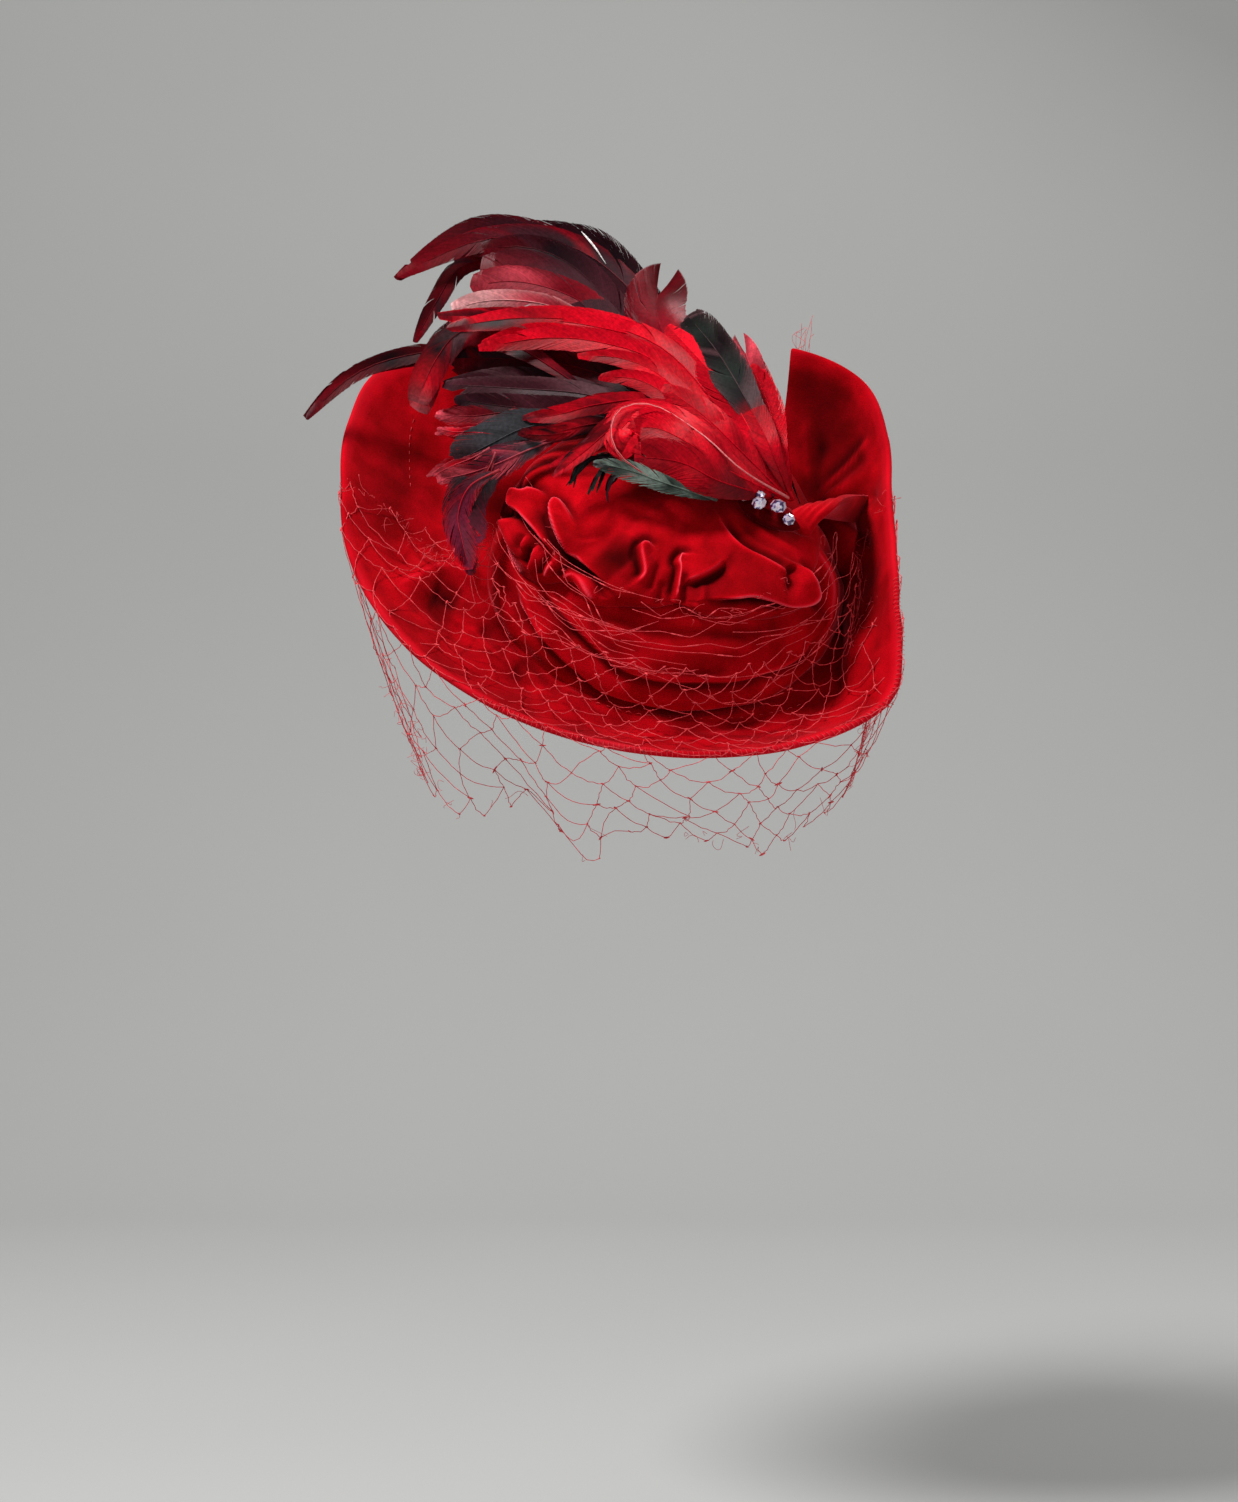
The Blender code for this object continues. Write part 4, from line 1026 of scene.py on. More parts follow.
def velvet(name, deep, bright):
    """Short silk pile: cloudy and grained, darkened as painted shade where the painted shading is below 0
    and given a pale pink painted highlight where it is above 0.
    """
    made = Nodes(name)
    brushed = made.ramp(made.noise(70.0, 6.0), [(0.38, deep), (0.62, bright)])
    cloud = made.ramp(made.noise(22.0, 3.0), [(0.34, grey(0.74)), (0.62, grey(1.0))])
    grain = made.ramp(made.noise(2600.0, 1.0), [(0.32, grey(0.66)), (0.66, grey(1.0))])
    colour = made.mix("MULTIPLY", 1.0, made.mix("MULTIPLY", 1.0, brushed, cloud), grain)
    # Below 0 the stored attribute darkens the colour as painted shade; above 0 it mixes in a pale pink
    # painted highlight
    painted_shading = made.halved(made.attribute("painted_shading")["Fac"])
    painted_shade = made.ramp(painted_shading, [(0.0, grey(0.14)), (0.30, grey(0.55)), (0.50, grey(1.0))])
    painted_highlight = made.ramp(painted_shading, [(0.54, grey(0.0)), (0.74, grey(0.55)), (0.96, grey(0.85))])
    pale = made.ramp(painted_shading, PAINTED_HIGHLIGHT_TONES)
    colour = made.mix("MIX", painted_highlight, made.mix("MULTIPLY", 1.0, colour, painted_shade), pale)
    made.join(colour, made.shader, "Base Color")
    made.bump(made.noise(1700.0, 2.0), 0.0003, 0.5)
    made.set(Roughness=0.95, Sheen_Weight=0.85, Sheen_Roughness=0.24, Sheen_Tint=(1.0, 0.11, 0.15, 1.0))
    made.set(Specular_IOR_Level=0.03)
    return made.material


def feather_surface(name, roughness):
    """The barbs carry their own colours. The nodes add fine streaks and a soft gloss."""
    made = Nodes(name)
    colour = made.attribute("tone")["Color"]
    streak = made.ramp(made.noise(700.0, 3.0), [(0.30, grey(0.62)), (0.70, grey(1.0))])
    made.join(made.mix("MULTIPLY", 1.0, colour, streak), made.shader, "Base Color")
    made.set(Roughness=roughness, Specular_IOR_Level=0.07)
    return made.material


def thread_surface(name, colour):
    """Dyed thread, a little paler in places."""
    made = Nodes(name)
    lighter = tuple(min(1.0, 1.8 * part + 0.04) for part in colour)
    made.join(made.ramp(made.noise(700.0, 2.0), [(0.35, colour), (0.7, lighter)]), made.shader, "Base Color")
    made.set(Roughness=0.6, Specular_IOR_Level=0.3)
    return made.material


def crystal_surface():
    """Cut glass that reflects for real, with white, violet and rose glints and dark facets painted in a
    cloudy pattern as painted reflections.
    """
    made = Nodes("crystal")
    tint = made.ramp(made.noise(640.0, 0.0), CRYSTAL_PAINTED_REFLECTIONS)
    made.join(tint, made.shader, "Base Color")
    made.set(Roughness=0.03, Metallic=0.45, IOR=1.75, Transmission_Weight=0.30, Coat_Weight=1.0)
    made.set(Coat_Roughness=0.01)
    return made.material


def floor_surface():
    """Pale grey paper."""
    made = Nodes("pale_floor")
    pale = made.ramp(made.noise(3.0, 1.0), [(0.2, (0.440, 0.440, 0.430)), (0.8, (0.455, 0.455, 0.445))])
    made.join(pale, made.shader, "Base Color")
    made.set(Roughness=0.95, Specular_IOR_Level=0.05)
    return made.material


# Brim


def brim_profile(degrees):
    """The brim's inner and outer reach, its rise, and the power of its upward curl."""
    inner = oval(degrees) + SEAM_GAP
    outer = BRIM_REACH * around(BRIM_EDGE, degrees, 1)
    rise = BRIM_RISE * around(BRIM_EDGE, degrees, 2)
    return inner, outer, rise, 1.2 + 0.9 / (1 + rise / (outer - inner))


def brim_points(degrees, share):
    """Points of the brim's middle surface, from the crown at 0 to the edge at 1."""
    degrees, share = np.broadcast_arrays(np.asarray(degrees, float), np.asarray(share, float))
    inner, outer, rise, curl = brim_profile(degrees)
    points = directions(degrees) * (inner + (outer - inner) * share)[..., None]
    turned_up = np.maximum(0.0, (share - BRIM_COLLAR) / (1 - BRIM_COLLAR))
    height = rise * turned_up**curl
    for centre, at, lift, width, length in BRIM_FOLDS:
        turn = (degrees - centre + 180) % 360 - 180
        fold = np.exp(-((turn / width) ** 2) - ((share - at) / length) ** 2)
        height = height + BRIM_FOLD_HEIGHT * lift * fold * np.minimum(1.0, 6 * turned_up)
    points[..., 2] = height
    return points


def brim_degrees(column, share):
    """The angle of a column share, from the flap's end round the front to the slit's other side."""
    foot_flap = SLIT_FOOT_DEG - SLIT_FOOT_WIDTH_DEG / 2
    foot_back = SLIT_FOOT_DEG + SLIT_FOOT_WIDTH_DEG / 2
    flap = foot_flap + (FLAP_END_DEG - foot_flap) * share
    back = foot_back + (BACK_END_DEG - foot_back) * share
    return flap - (360 - back + flap) * column


def brim_surface(degrees, share):
    """The brim's middle surface with all its folds, and its painted shading, with a painted highlight along
    its rim.
    """
    grid = brim_points(degrees, share)
    normal = upward(normals_of(grid, False))
    lift, painted_shading = folded(grid, normal, BRIM_LINES)
    lift = eased(lift, 1)
    lift += ripples(grid, "brim")
    lift *= np.clip((share - 0.02) * 12, 0, 1) * np.clip((1.03 - share) * 8, 0.2, 1)
    # A pale painted highlight along the brim's rim
    return grid + normal * lift[..., None], painted_shading + PAINTED_HIGHLIGHT_AT_RIM * np.clip((share - 0.90) / 0.06, 0, 1)


def make_brim(surface):
    """The brim, open along the slit, with its two ends joined at the collar."""
    columns = 280
    bands = 40
    share = np.concatenate(([0.0, BRIM_COLLAR / 2], np.linspace(BRIM_COLLAR, 1.0, bands)))[:, None]
    degrees = brim_degrees(np.linspace(0, 1, columns)[None, :], share)
    grid, painted_shading = brim_surface(degrees, np.broadcast_to(share, degrees.shape))
    grid[0] -= directions(degrees[0]) * COLLAR_TUCK
    # Below the slit's foot the brim is whole, so its first bands are closed round the hat
    faces = grid_faces(len(share), columns, False)
    for row in range(2):
        first = row * columns
        faces.append((first + columns - 1, first, first + columns, first + 2 * columns - 1))
    obj = new_object("brim_velvet", grid, faces, surface, painted_shading)
    thicken(obj, BRIM_WALL * BRIM_VELVET_SHARE, 0)
    soften(obj, 1)
    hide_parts("brim")


# Crown and drape


def close_top(obj):
    """Joins the last ring's points, which meet in the middle."""
    weld = obj.modifiers.new("close_top", "WELD")
    weld.merge_threshold = CLOSE_WITHIN


def profile_points(profile, rows):
    """A profile's two columns, read smoothly at evenly spaced rows."""
    table = [(index, *row) for index, row in enumerate(profile)]
    places = np.linspace(0, len(profile) - 1, rows)
    return along(table, places, 1)[:, None], along(table, places, 2)[:, None]


def make_crown(surface, lining):
    """The crown's wall with its swags, velvet outside and lining inside."""
    columns = 380
    rows = 72
    degrees = np.arange(columns)[None, :] * 360 / columns
    reach, height = profile_points(CROWN_PROFILE, rows)
    grid = directions(degrees) * (reach * oval(degrees))[..., None]
    grid[..., 2] = height * CROWN_HEIGHT
    normal = normals_of(grid, True)
    normal *= np.where((normal * grid).sum(axis=-1, keepdims=True) < 0, -1.0, 1.0)
    lift, painted_shading = folded(grid, normal, CROWN_FOLDS)
    lift = eased(lift, 2)
    lift += ripples(grid, "crown")
    lift *= np.clip(height * 7, 0, 1) * np.clip((1.02 - height) * 10, 0, 1)
    grid += normal * np.clip(lift, *CROWN_FOLD_RANGE)[..., None]
    grid[-1] = grid[-1].mean(axis=0)
    obj = new_object("crown_velvet", grid, grid_faces(rows, columns, True), surface, painted_shading)
    obj.data.materials.append(lining)
    thicken(obj, CROWN_WALL, -1)
    obj.modifiers["wall"].material_offset = 1
    obj.modifiers["wall"].material_offset_rim = 0
    close_top(obj)
    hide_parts("crown")


def crown_height(reach):
    """The height share of the crown's plain outside at reach shares."""
    rows = np.array(CROWN_PROFILE[2:])[::-1]
    return np.interp(reach, rows[:, 0], rows[:, 1])


def drape_points(degrees, share, lift):
    """Points of the drape's outside, from its rim on the crown's shoulder to its top."""
    reach = around(DRAPE_EDGE, degrees, 1)
    seat = reach - DRAPE_WALL / oval(degrees)
    rim = crown_height(seat) * CROWN_HEIGHT + SEAM_GAP
    top = CROWN_HEIGHT + DRAPE_PUFF * (1 + (around(DRAPE_EDGE, degrees, 2) - 1) * share**2)
    points = directions(degrees) * (reach * share * oval(degrees))[..., None]
    points[..., 2] = rim + (top - rim) * lift
    return points


def make_drape(surface):
    """The puff of velvet over the crown's top. Its folds lean outwards near its rim."""
    columns = 420
    rows = 112
    degrees = np.arange(columns)[None, :] * 360 / columns
    share, lift = profile_points(DRAPE_PROFILE, rows)
    grid = drape_points(degrees, share, lift)
    normal = upward(normals_of(grid, True))
    out = directions(np.broadcast_to(degrees, grid.shape[:2]))
    normal = normal * 0.7 + out * 0.3 * np.clip(share * 3 - 2, 0, 1)[..., None]
    height, painted_shading = folded(grid, normal, DRAPE_FOLDS)
    height = eased(height, 2)
    height += ripples(grid, "drape")
    height *= np.clip(lift * 8 + 0.3, 0, 1)
    grid += normal * np.clip(height, *DRAPE_FOLD_RANGE)[..., None]
    grid[-1] = grid[-1].mean(axis=0)
    obj = new_object("drape_velvet", grid, grid_faces(rows, columns, True), surface, painted_shading)
    close_top(obj)
    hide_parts("crown_drape")


# Tubes, for threads, stitches and quills


def tube(line, radii, sides):
    """Points and faces of a closed tube along a line."""
    line = np.asarray(line, float)
    ahead = unit(np.gradient(line, axis=0))
    across = unit(np.cross(ahead, TUBE_GUIDE))
    over = np.cross(ahead, across)
    turn = 2 * np.pi * np.arange(sides) / sides
    ring = across[:, None] * np.cos(turn)[None, :, None] + over[:, None] * np.sin(turn)[None, :, None]
    points = line[:, None] + ring * np.broadcast_to(radii, len(line))[:, None, None]
    return points.reshape(-1, 3), tube_faces(len(line), sides)


class Heap:
    """Many small shapes gathered into one mesh, with a colour at each point."""

    def __init__(self):
        self.points = []
        self.faces = []
        self.tones = []
        self.count = 0

    def add(self, points, faces, tones=None):
        points = np.asarray(points).reshape(-1, 3)
        self.points.append(points)
        self.faces += [tuple(self.count + corner for corner in face) for face in faces]
        if tones is not None:
            self.tones.append(np.broadcast_to(tones, (len(points), 3)).reshape(-1, 3))
        self.count += len(points)

    def make(self, name, surface):
        obj = new_object(name, np.concatenate(self.points), self.faces, surface)
        if self.tones:
            tones = np.concatenate(self.tones)
            layer = obj.data.color_attributes.new("tone", "FLOAT_COLOR", "POINT")
            layer.data.foreach_set("color", np.column_stack((tones, np.ones(len(tones)))).ravel())
        return obj


def on_brim(degrees, share, above):
    """Points above the brim's upper face, and its normals there."""
    here = brim_points(degrees, share)
    wide = brim_points(degrees + 0.4, share) - here
    deep = brim_points(degrees, share + 0.01) - here
    normal = upward(unit(np.cross(wide, deep)))
    return here + normal * (BRIM_WALL / 2 + above), normal


def add_running_stitches(heap):
    """Short stitches that come up through the brim and go down again."""
    for pitch, line in STITCH_LINES:
        path = smooth_line(line, 400)
        points, _ = on_brim(path[:, 0], path[:, 1], 0.0)
        run = run_of(points)
        for start in np.arange(0, run[-1] - pitch, pitch):
            at = start + pitch * np.linspace(*STITCH_SHOWN, 5)
            stitch = brim_points(np.interp(at, run, path[:, 0]), np.interp(at, run, path[:, 1]))
            above = STITCH_RISE * np.sin(np.linspace(0, np.pi, 5))
            stitch[:, 2] += BRIM_WALL / 2 - STITCH_SINK + above
            heap.add(*tube(stitch, STITCH_THREAD, 5))


def add_overcast_stitches(heap):
    """Fine slanting loops over the brim's lower edge."""
    degrees = np.linspace(OVERCAST_FROM_DEG, OVERCAST_TO_DEG, 1600)
    run = run_of(brim_points(degrees, 1.0))
    turn = np.radians(np.linspace(*OVERCAST_TURN_DEG, 7))
    for start in np.arange(0, run[-1], OVERCAST_PITCH):
        at = np.interp(start + OVERCAST_SLANT * np.linspace(0, 1, 7), run, degrees)
        rim, normal = on_brim(at, np.full(7, 0.992), -BRIM_WALL / 2)
        out = unit(rim - on_brim(at, np.full(7, 0.96), -BRIM_WALL / 2)[0])
        loop = rim + OVERCAST_LOOP * (normal * np.sin(turn)[:, None] + out * np.cos(turn)[:, None])
        heap.add(*tube(loop, OVERCAST_THREAD, 4))


def make_stitches(surface):
    """Running stitches on the brim, and overcast stitches round its lower edge."""
    heap = Heap()
    add_running_stitches(heap)
    add_overcast_stitches(heap)
    heap.make("edge_stitches", surface)


# Knot


def plume_head_place():
    """The middle of the plume's head, and the directions along and across it."""
    low, high = (np.array(corner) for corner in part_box("crystal_4"))
    stone = TILT.T @ ((low + high) / 2)
    lengthwise = directions(np.array(PLUME_HEAD_TURN_DEG))
    crosswise = np.array((-lengthwise[1], lengthwise[0], 0.0))
    centre = np.array((PLUME_HEAD_AT[0] * CROWN_WIDTH / 2, PLUME_HEAD_AT[1] * CROWN_DEPTH / 2, 0.0))
    centre[2] = stone[2] - STONE_ABOVE_HEAD
    return centre, lengthwise, crosswise


def make_knot(surface):
    """The gathered tab from the plume's head, which draws the tall flap's velvet in with pleats."""
    centre, lengthwise, _ = plume_head_place()
    start = centre + lengthwise * PLUME_HEAD_LENGTH * KNOT_ROOT_SHARE
    middle = seen(np.array(KNOT_WAIST), start[2] - KNOT_WAIST_DROP)
    end, flap_normal = on_brim(np.array([KNOT_FLAP_DEG]), np.array([KNOT_FLAP_SHARE]), -KNOT_SINK)
    line = smooth_line((start, middle, end[0]), 48)
    sides = 108
    ahead = unit(np.gradient(line, axis=0))
    share = np.linspace(0, 1, len(line))[:, None]
    up = np.array((0.0, 0.0, 1.0)) * (1 - share) + flap_normal * share
    across = unit(np.cross(ahead, up))
    over = np.cross(across, ahead)
    turn = 2 * np.pi * np.arange(sides)[None, :] / sides
    wide = np.cos(turn) * KNOT_HALF_WIDTH * np.interp(share, *zip(*KNOT_WIDTHS))
    high = np.sin(turn) * KNOT_HALF_HEIGHT * np.interp(share, *zip(*KNOT_HEIGHTS))
    waves = np.cos(KNOT_PLEATS * np.pi * np.cos(turn) + 1.2 * share)
    pleats = KNOT_PLEAT * waves * np.clip(np.sin(turn) * 3, 0, 1)
    high = high + pleats * share
    points = line[:, None] + across[:, None] * wide[..., None] + over[:, None] * high[..., None]
    obj = new_object("knot_velvet", points, tube_faces(len(line), sides), surface)
    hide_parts("side_knot")


# Feathers


def vane_width(share, tip):
    """A feather's half width along its length, as a share of its widest."""
    share = np.clip(share, 0, 1)
    if tip in ("point", "split"):
        return np.clip(1.25 * share**0.75 * (1 - share**3.2) ** 0.8, 0.01, 1)
    if tip == "curl":
        return np.clip(0.5 + share, 0, 1)
    rise = np.clip(0.04 + 1.7 * share, 0, 1)
    if tip == "notch":
        return rise
    return rise * np.sqrt(np.clip(1 - (np.maximum(share - 0.84, 0) / 0.16) ** 2, 0.0, 1))


def read_along(places, table):
    """A table's rows, evenly spaced from 0 to 1, read at places and held at both ends."""
    shares = np.linspace(0, 1, len(table))
    return np.stack([np.interp(places, shares, table[:, axis]) for axis in range(3)], axis=-1)


def evenly(line, count):
    """A line's points, spaced evenly along it, and its length."""
    run = run_of(line)
    places = np.linspace(0, run[-1], count)
    return np.stack([np.interp(places, run, line[:, axis]) for axis in range(3)], axis=1), run[-1]


def wandering(count, knots, draws):
    """Values for a number of barbs that change slowly from one random draw to the next."""
    return np.interp(np.arange(count), np.linspace(0, count, knots), draws)


def barb_tones(tones, streak, share, across):
    """Colours at shares of the feather's length and of the way out, with streaks along some barbs."""
    barbs = len(share)
    body = read_along(share, np.array([TONES[name] for name in tones.split()]))
    streaked = wandering(barbs, 14, RANDOM.uniform(0, 1, 14))
    mixed = np.clip((streaked - 0.62) * 3, 0, 0.85)[:, None] + 0.55 * across**4
    body = body + (np.array(TONES[streak]) - body) * np.clip(mixed, 0, 1)[..., None]
    shade = np.exp(RANDOM.normal(0, 0.09, barbs))
    shade = shade * np.exp(wandering(barbs, 9, RANDOM.normal(0, 0.22, 9)))
    return np.clip(body * shade[:, None, None], 0, 1)


def barb_places(tip, barbs, half, length):
    """Where each barb of a vane starts and ends along the quill, and how far out it reaches."""
    beyond, split_count = TIPS[tip]
    root = np.linspace(0.04, 0.97, barbs)
    if tip == "notch":
        root = 0.04 + 0.86 * (1 - (1 - np.linspace(0, 1, barbs)) ** 2)
    lean = 1.6 + 1.4 * root
    ahead_of_root = np.minimum(half * vane_width(root + 0.06, tip) * lean / length, 0.34)
    room = beyond - root
    end = root + room * (1 - np.exp(-ahead_of_root / room))
    splits = np.sort(RANDOM.uniform(0.15, 0.95, split_count))
    group = np.searchsorted(splits, root)
    for index in range(split_count + 1):
        inside = group == index
        if inside.any():
            end[inside] += (root[inside].mean() - root[inside]) * RANDOM.uniform(0.02, 0.10)
            end[inside] += RANDOM.normal(0, 0.004)
    end = np.minimum(end, root + room)
    reach = half * vane_width(end, tip) * (1 + RANDOM.normal(0, 0.015, barbs))
    if tip == "notch":
        end = np.maximum(end, root + 0.16 * np.clip(root * 2, 0, 1))
        reach = reach * np.sqrt(np.clip(1 - np.clip((root - 0.70) / 0.21, 0, 1) ** 2, 0.03, 1))
    if tip == "split":
        reach = reach * RANDOM.uniform(0.80, 1.06, barbs)
    return root, end, reach


def add_vane(heap, hand, frames, length, half, tip, tones, streak):
    """One side of a feather: barbs that lie against each other, with a few splits between them."""
    line, ahead, side, face = frames
    barbs = max(12, int(length / BARB_GAP))
    root, end, reach = barb_places(tip, barbs, half, length)
    steps = np.linspace(0, 1, BARB_STEPS + 1)[None, :]
    share = root[:, None] + (end - root)[:, None] * (0.72 * steps + 0.28 * steps**2)
    across = reach[:, None] * (1.18 * steps - 0.18 * steps**2)
    beyond = np.maximum(share - 1, 0) * length
    lift = -BARB_CURL * across**2 / half + RANDOM.normal(0, 0.00006, barbs)[:, None] * steps
    forward = read_along(share, ahead)
    outward = read_along(share, face)
    spine = read_along(share, line)
    spine = spine + hand * read_along(share, side) * across[..., None]
    spine = spine + outward * lift[..., None] + forward * beyond[..., None]
    taper = 0.80 + 0.25 * steps - 0.38 * steps**3
    if tip == "notch":
        taper = 0.8 + 1.2 * steps
    width = 0.93 / barbs * length * taper
    along_quill = forward * width[..., None]
    shingle = outward * BARB_SHINGLE * width[..., None]
    strip = np.stack((spine - along_quill + shingle, spine + along_quill - shingle), axis=2)
    colours = barb_tones(tones, streak, share, np.broadcast_to(steps, share.shape))
    faces = []
    for barb in range(barbs):
        for step in range(BARB_STEPS):
            corner = 2 * (barb * (BARB_STEPS + 1) + step)
            faces.append((corner, corner + 1, corner + 3, corner + 2))
    heap.add(strip, faces, np.repeat(colours[:, :, None, :], 2, axis=2).reshape(-1, 3))


def add_quill(heap, line, face, width, tip, tones, streak):
    """A tapered quill on the feather's face, in its colours but paler and nearer to its streaks."""
    whole = tip == "curl"
    radii = np.interp(np.linspace(0, 1, QUILL_POINTS), *zip(*QUILL_RADII))
    radii *= 1.0 if whole else min(1.0, width / FULL_QUILL_WIDTH)
    shown = len(line) if whole else len(line) - QUILL_SHORT
    quill, _ = evenly(line[:shown] + face[:shown] * QUILL_ABOVE, QUILL_POINTS)
    shares = np.repeat(np.linspace(0, 1, QUILL_POINTS), QUILL_SIDES)
    shade = read_along(shares, np.array([TONES[name] for name in tones.split()]))
    shade = shade + (np.array(TONES[streak]) - shade) * 0.5
    heap.add(*tube(quill, radii, QUILL_SIDES), np.clip(shade * 1.3, 0, 1))


def add_feather(heap, tones, streak, tip, points, width, turn):
    """One feather: a quill with a vane on each side, which faces the way that the hat faces."""
    line, length = evenly(smooth_line(points, 60), FEATHER_POINTS)
    ahead = unit(np.gradient(line, axis=0))
    facing = np.array(VANES_FACE) / np.linalg.norm(VANES_FACE)
    side = unit(np.cross(ahead, facing), 0.25)
    face = np.cross(side, ahead)
    tilt = np.radians(turn) * np.linspace(0.3, 1, len(line))[:, None]
    side, face = side * np.cos(tilt) + face * np.sin(tilt), face * np.cos(tilt) - side * np.sin(tilt)
    hands = (1.0,) if tip == "curl" else (1.0, -1.0)
    for hand in hands:
        add_vane(heap, hand, (line, ahead, side, face), length, width / 2, tip, tones, streak)
    add_quill(heap, line, face, width, tip, tones, streak)


def make_feathers():
    """All feathers, in three pieces from the back of the plume to its front."""
    centre, _, _ = plume_head_place()
    heaps = [Heap() for _ in FEATHER_PIECES]
    for row, (tones, streak, tip, width, turn, more, points) in enumerate(FEATHERS):
        heap = heaps[row * len(heaps) // len(FEATHERS)]
        table = np.array(points, float)
        for copy in range(more + 1):
            stray = RANDOM.normal(0, 1, (len(table), 3)) * COPY_STRAY * min(copy, 1)
            stray *= np.linspace(0, 1, len(table))[:, None]
            stray[:, 2] -= COPY_DROP * copy
            place = table + stray
            line = seen(place[:, :2], centre[2] + place[:, 2] / 1000)
            wide = width * SCALE * COPY_WIDTH**copy
            add_feather(heap, tones, streak, tip, line, wide, turn + COPY_TURN_DEG * copy)
    for heap, (name, roughness) in zip(heaps, FEATHER_PIECES):
        heap.make(name, feather_surface(name, roughness))
    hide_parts("feather_plume")


def make_plume_root(surface):
    """The bound ends of the feathers: an oval head under the stones, wound with fibres. Its dark lining
    colour is painted shade.
    """
    centre, lengthwise, crosswise = plume_head_place()
    rings = 26
    sides = 48
    size = np.array((PLUME_HEAD_LENGTH, PLUME_HEAD_WIDTH, PLUME_HEAD_HEIGHT)) / 2
    turn = np.linspace(0, np.pi, rings)[:, None]
    spin = 2 * np.pi * np.arange(sides)[None, :] / sides
    rough = 1 + 0.05 * np.sin(9 * spin + 4 * turn) * np.sin(turn)
    length = np.cos(turn) * np.ones_like(spin)
    width = np.sin(turn) * np.cos(spin) * rough
    height = np.sin(turn) * np.sin(spin) * rough
    local = np.stack((length, width, height), axis=-1) * size * 0.96
    upright = np.array((0, 0, 1.0))
    points = centre + lengthwise * local[..., :1] + crosswise * local[..., 1:2] + upright * local[..., 2:]
    obj = new_object("plume_root", points, grid_faces(rings, sides, True), surface)


# Net


def through(points, place):
    """A smooth line through a few rows of points, read at places from 0 to the last row."""
    last = len(points) - 1
    low = np.clip(np.floor(place).astype(int), 0, last - 1)
    share = (place - low)[:, None]
    each = np.arange(len(place))
    picked = [points[np.clip(low + step, 0, last), each] for step in (-1, 0, 1, 2)]
    return cubic(*picked, share)


def net_points(level, share):
    """Points of the net at levels between its top and its hem, and at shares of the way round."""
    start = along(NET_HOLDS, level, 1)
    end = along(NET_HOLDS, level, 2)
    degrees = start + (end - start) * share
    way = directions(degrees)
    rows = []
    for reach, beyond, height in NET_LAY:
        row = way * (oval(degrees) * reach + beyond)[..., None]
        row[..., 2] = height
        rows.append(row)
    foot = brim_points(degrees, NET_FOOT_SHARE)
    foot[..., 2] += NET_FOOT_ABOVE
    edge = brim_points(degrees, 1.0) + way * NET_EDGE_OUT
    edge[..., 2] += NET_LIE
    held = [row[0] for row in NET_HOLDS]
    inside = through(np.stack((*rows, foot, edge)), np.interp(level, held[:-1], (0, 1, 2, 3)))
    down = np.clip((level - held[-2]) / (held[-1] - held[-2]), 0, 1)
    across, high, depth = (along(NET_HEM, degrees, column) for column in (1, 2, 3))
    hem = seen_behind(np.stack((across, high), axis=-1), depth)
    hang = edge + (hem - edge) * down[:, None]
    hang = hang + way * (NET_BELLY * np.sin(np.pi * down))[:, None]
    return np.where((down > 0)[:, None], hang, inside)


def net_knots():
    """The net's knots by level and column: each one's own level and share of the way round."""
    levels = NET_HOLDS[-1][0]
    knots = {}
    for level in range(NET_BUNCH - 1, levels + 1):
        odd = level % 2
        for column in range(NET_COLUMNS + 1 - odd):
            loose = RANDOM.normal(0, 1, 2) * (HEM_LOOSE if level == levels else NET_LOOSE)
            share = (column + 0.5 * odd + loose[0] * 0.7) / NET_COLUMNS
            knots[level, column] = (min(max(level + loose[1], 0), levels), min(max(share, 0), 1))
    return knots


def add_threads(heap, knots):
    """Threads from each knot to the two below it. Each sags a little."""
    steps = np.linspace(0, 1, NET_STEPS)
    down = np.array((0.0, 0.0, -1.0)) @ TILT
    threads = []
    for (level, column), here in knots.items():
        odd = level % 2
        for other in (column - 1 + odd, column + odd):
            if (level + 1, other) in knots:
                there = knots[level + 1, other]
                threads.append(np.array(here) + (np.array(there) - np.array(here)) * steps[:, None])
    route = np.concatenate(threads)
    for line in net_points(route[:, 0], route[:, 1]).reshape(-1, NET_STEPS, 3):
        slack = RANDOM.uniform(*NET_SLACK) * np.sin(np.pi * steps)
        wander = RANDOM.normal(0, NET_WANDER, (NET_STEPS, 3)) * np.sin(np.pi * steps)[:, None]
        heap.add(*tube(line + down * slack[:, None] + wander, NET_THREAD / 2, 5))


def add_knots(heap, knots):
    """A small twisted knot where threads meet."""
    places = np.array(list(knots.values()))
    here = net_points(places[:, 0], places[:, 1])
    beside = net_points(places[:, 0], np.minimum(places[:, 1] + 0.01, 1.0)) - here
    for middle, twist in zip(here, beside):
        size = NET_KNOT * RANDOM.uniform(0.7, 1.3)
        twist = twist / max(np.linalg.norm(twist), 1e-9) + RANDOM.normal(0, 0.4, 3)
        line = middle + twist * size * np.linspace(-1, 1, 6)[:, None]
        heap.add(*tube(line, size * 0.42 * np.sin(np.linspace(0.35, np.pi - 0.35, 6)), 6))


def make_net(surface):
    """The whole veil. No two of its diamonds are alike."""
    heap = Heap()
    knots = net_knots()
    add_threads(heap, knots)
    add_knots(heap, knots)
    add_strands(heap)
    add_strays(heap)
    add_tuft(heap)
    obj = heap.make("veil_net", surface)
    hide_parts("veil")


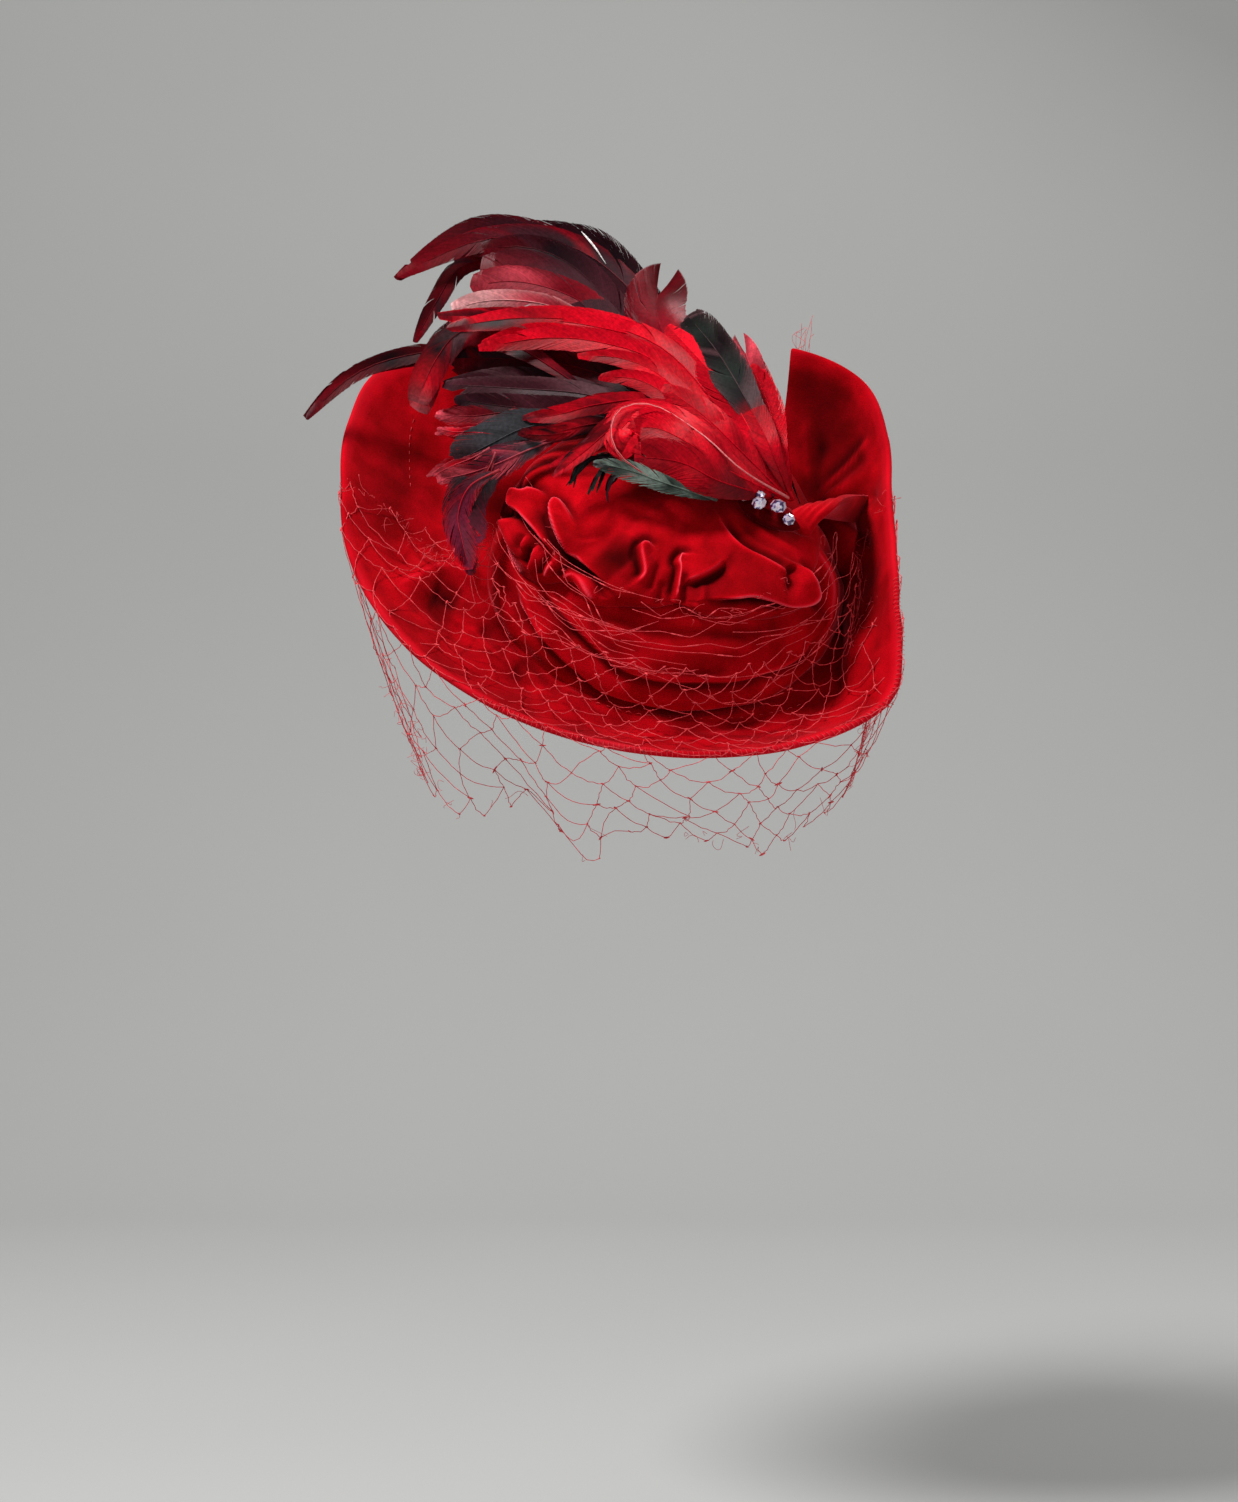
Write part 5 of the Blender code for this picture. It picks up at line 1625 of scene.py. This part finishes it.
def add_strands(heap):
    """The net's gathered top: its meshes are pulled flat, so long threads run beside each other."""
    steps = np.linspace(0, 1, 40)
    for _ in range(NET_STRANDS):
        start = RANDOM.uniform(*STRAND_STARTS)
        share = np.clip(start + RANDOM.uniform(*STRAND_LENGTHS) * steps, 0, 1)
        level = RANDOM.uniform(0.3, NET_BUNCH + 1) + RANDOM.normal(0, 3.0) * (steps - 0.5)
        kinks = RANDOM.normal(0, 0.42, 9)
        level = np.clip(level + np.interp(steps, np.linspace(0, 1, 9), kinks), 0, NET_BUNCH + 2)
        line = net_points(level, share)
        heap.add(*tube(line, NET_THREAD * 0.40, 5))
        for place in (12, 27):
            heap.add(*tube(line[place - 1 : place + 2], NET_KNOT * 0.34, 6))


def add_strays(heap):
    """Loose curled thread ends where the net is cut: both its sides, its hem and its gathered top."""
    levels = NET_HOLDS[-1][0]
    steps = np.linspace(0, 1, 10)[:, None]
    for low, high, first, last, count in NET_STRAYS:
        for _ in range(count):
            level = np.array([RANDOM.uniform(low, high) * levels])
            start = net_points(level, np.array([RANDOM.uniform(first, last)]))[0]
            turns = RANDOM.normal(0, 1, (3, 3))
            length = RANDOM.uniform(*STRAY_LENGTHS)
            curl = turns[0] * steps + turns[1] * np.sin(3.0 * steps) * 0.5
            curl = curl + turns[2] * np.sin(7.0 * steps) * 0.2
            heap.add(*tube(start + curl * length * 0.5, NET_THREAD * 0.3, 4))


def add_tuft(heap):
    """A few threads that stand up from the corner of the tall flap."""
    upright = np.array((0.15, 0.0, 1.0)) @ TILT
    steps = np.linspace(0, 1, 10)[:, None]
    for _ in range(TUFT_THREADS):
        start = brim_points(RANDOM.uniform(*TUFT_DEGREES), 1.0)
        sway = RANDOM.normal(0, TUFT_SWAY, 3) * np.sin(4 * steps)
        line = start + upright * steps * RANDOM.uniform(*TUFT_LENGTHS) + sway
        heap.add(*tube(line, NET_THREAD * 0.3, 4))


# The studio


def area_light(name, place, width, power):
    """A round lamp that looks at the hat."""
    light = bpy.data.lights.new(name, "AREA")
    light.shape = "DISK"
    light.size = width
    light.energy = power
    obj = bpy.data.objects.new(name, light)
    obj.location = place
    obj.rotation_euler = (Vector(LIGHTS_AIM) - Vector(place)).to_track_quat("-Z", "Y").to_euler()
    bpy.context.scene.collection.objects.link(obj)


def make_camera():
    """The camera, level, at the place of the photograph's."""
    camera = bpy.data.cameras.new("camera")
    camera.sensor_fit = "VERTICAL"
    camera.sensor_height = 36.0
    camera.lens = camera.sensor_height * CAMERA_DISTANCE / (IMAGE_HEIGHT * SCALE)
    camera.clip_start = 0.05
    viewer = bpy.data.objects.new("camera", camera)
    viewer.location = eye_place()
    viewer.rotation_euler = (math.radians(90), 0, 0)
    bpy.context.scene.collection.objects.link(viewer)
    bpy.context.scene.camera = viewer


def make_floor():
    """A pale floor that bends up into a wall behind the hat."""
    sweep = [(FLOOR_FRONT, -FLOOR_DROP)]
    for step in range(FLOOR_BEND_STEPS + 1):
        turn = math.radians(90 * step / FLOOR_BEND_STEPS)
        back = FLOOR_BEND_AT + FLOOR_BEND_RADIUS * math.sin(turn)
        sweep.append((back, -FLOOR_DROP + FLOOR_BEND_RADIUS * (1 - math.cos(turn))))
    sweep.append((FLOOR_BEND_AT + FLOOR_BEND_RADIUS, WALL_HEIGHT))
    points = [(x, y, z) for y, z in sweep for x in (-FLOOR_HALF_WIDTH, FLOOR_HALF_WIDTH)]
    mesh = bpy.data.meshes.new("floor")
    mesh.from_pydata(points, [], grid_faces(len(sweep), 2, False))
    mesh.materials.append(floor_surface())
    mesh.shade_smooth()
    obj = bpy.data.objects.new("floor", mesh)
    bpy.context.scene.collection.objects.link(obj)


def make_studio():
    """Camera, floor, lamps and a soft even sky."""
    make_camera()
    make_floor()
    for row in LIGHTS:
        area_light(*row)
    world = bpy.data.worlds.new("studio")
    world.use_nodes = True
    background = world.node_tree.nodes["Background"]
    background.inputs["Color"].default_value = (0.75, 0.76, 0.78, 1.0)
    background.inputs["Strength"].default_value = 0.26
    bpy.context.scene.world = world
    bpy.context.scene.view_settings.view_transform = "Standard"


def main():
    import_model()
    make_studio()
    cloth = {name: velvet(name, deep, bright) for name, (deep, bright) in VELVETS.items()}
    make_brim(cloth["velvet_brim"])
    make_crown(cloth["velvet_crown"], cloth["lining"])
    make_drape(cloth["velvet_drape"])
    make_knot(cloth["velvet_brim"])
    make_stitches(thread_surface("stitch_thread", (0.42, 0.006, 0.012)))
    make_feathers()
    # The plume's head takes the dark lining as painted shade
    make_plume_root(cloth["lining"])
    make_net(thread_surface("net_thread", (0.46, 0.018, 0.026)))
    crystal = crystal_surface()
    for index in range(1, 6):
        bpy.data.objects[f"crystal_{index}"].data.materials[0] = crystal


main()
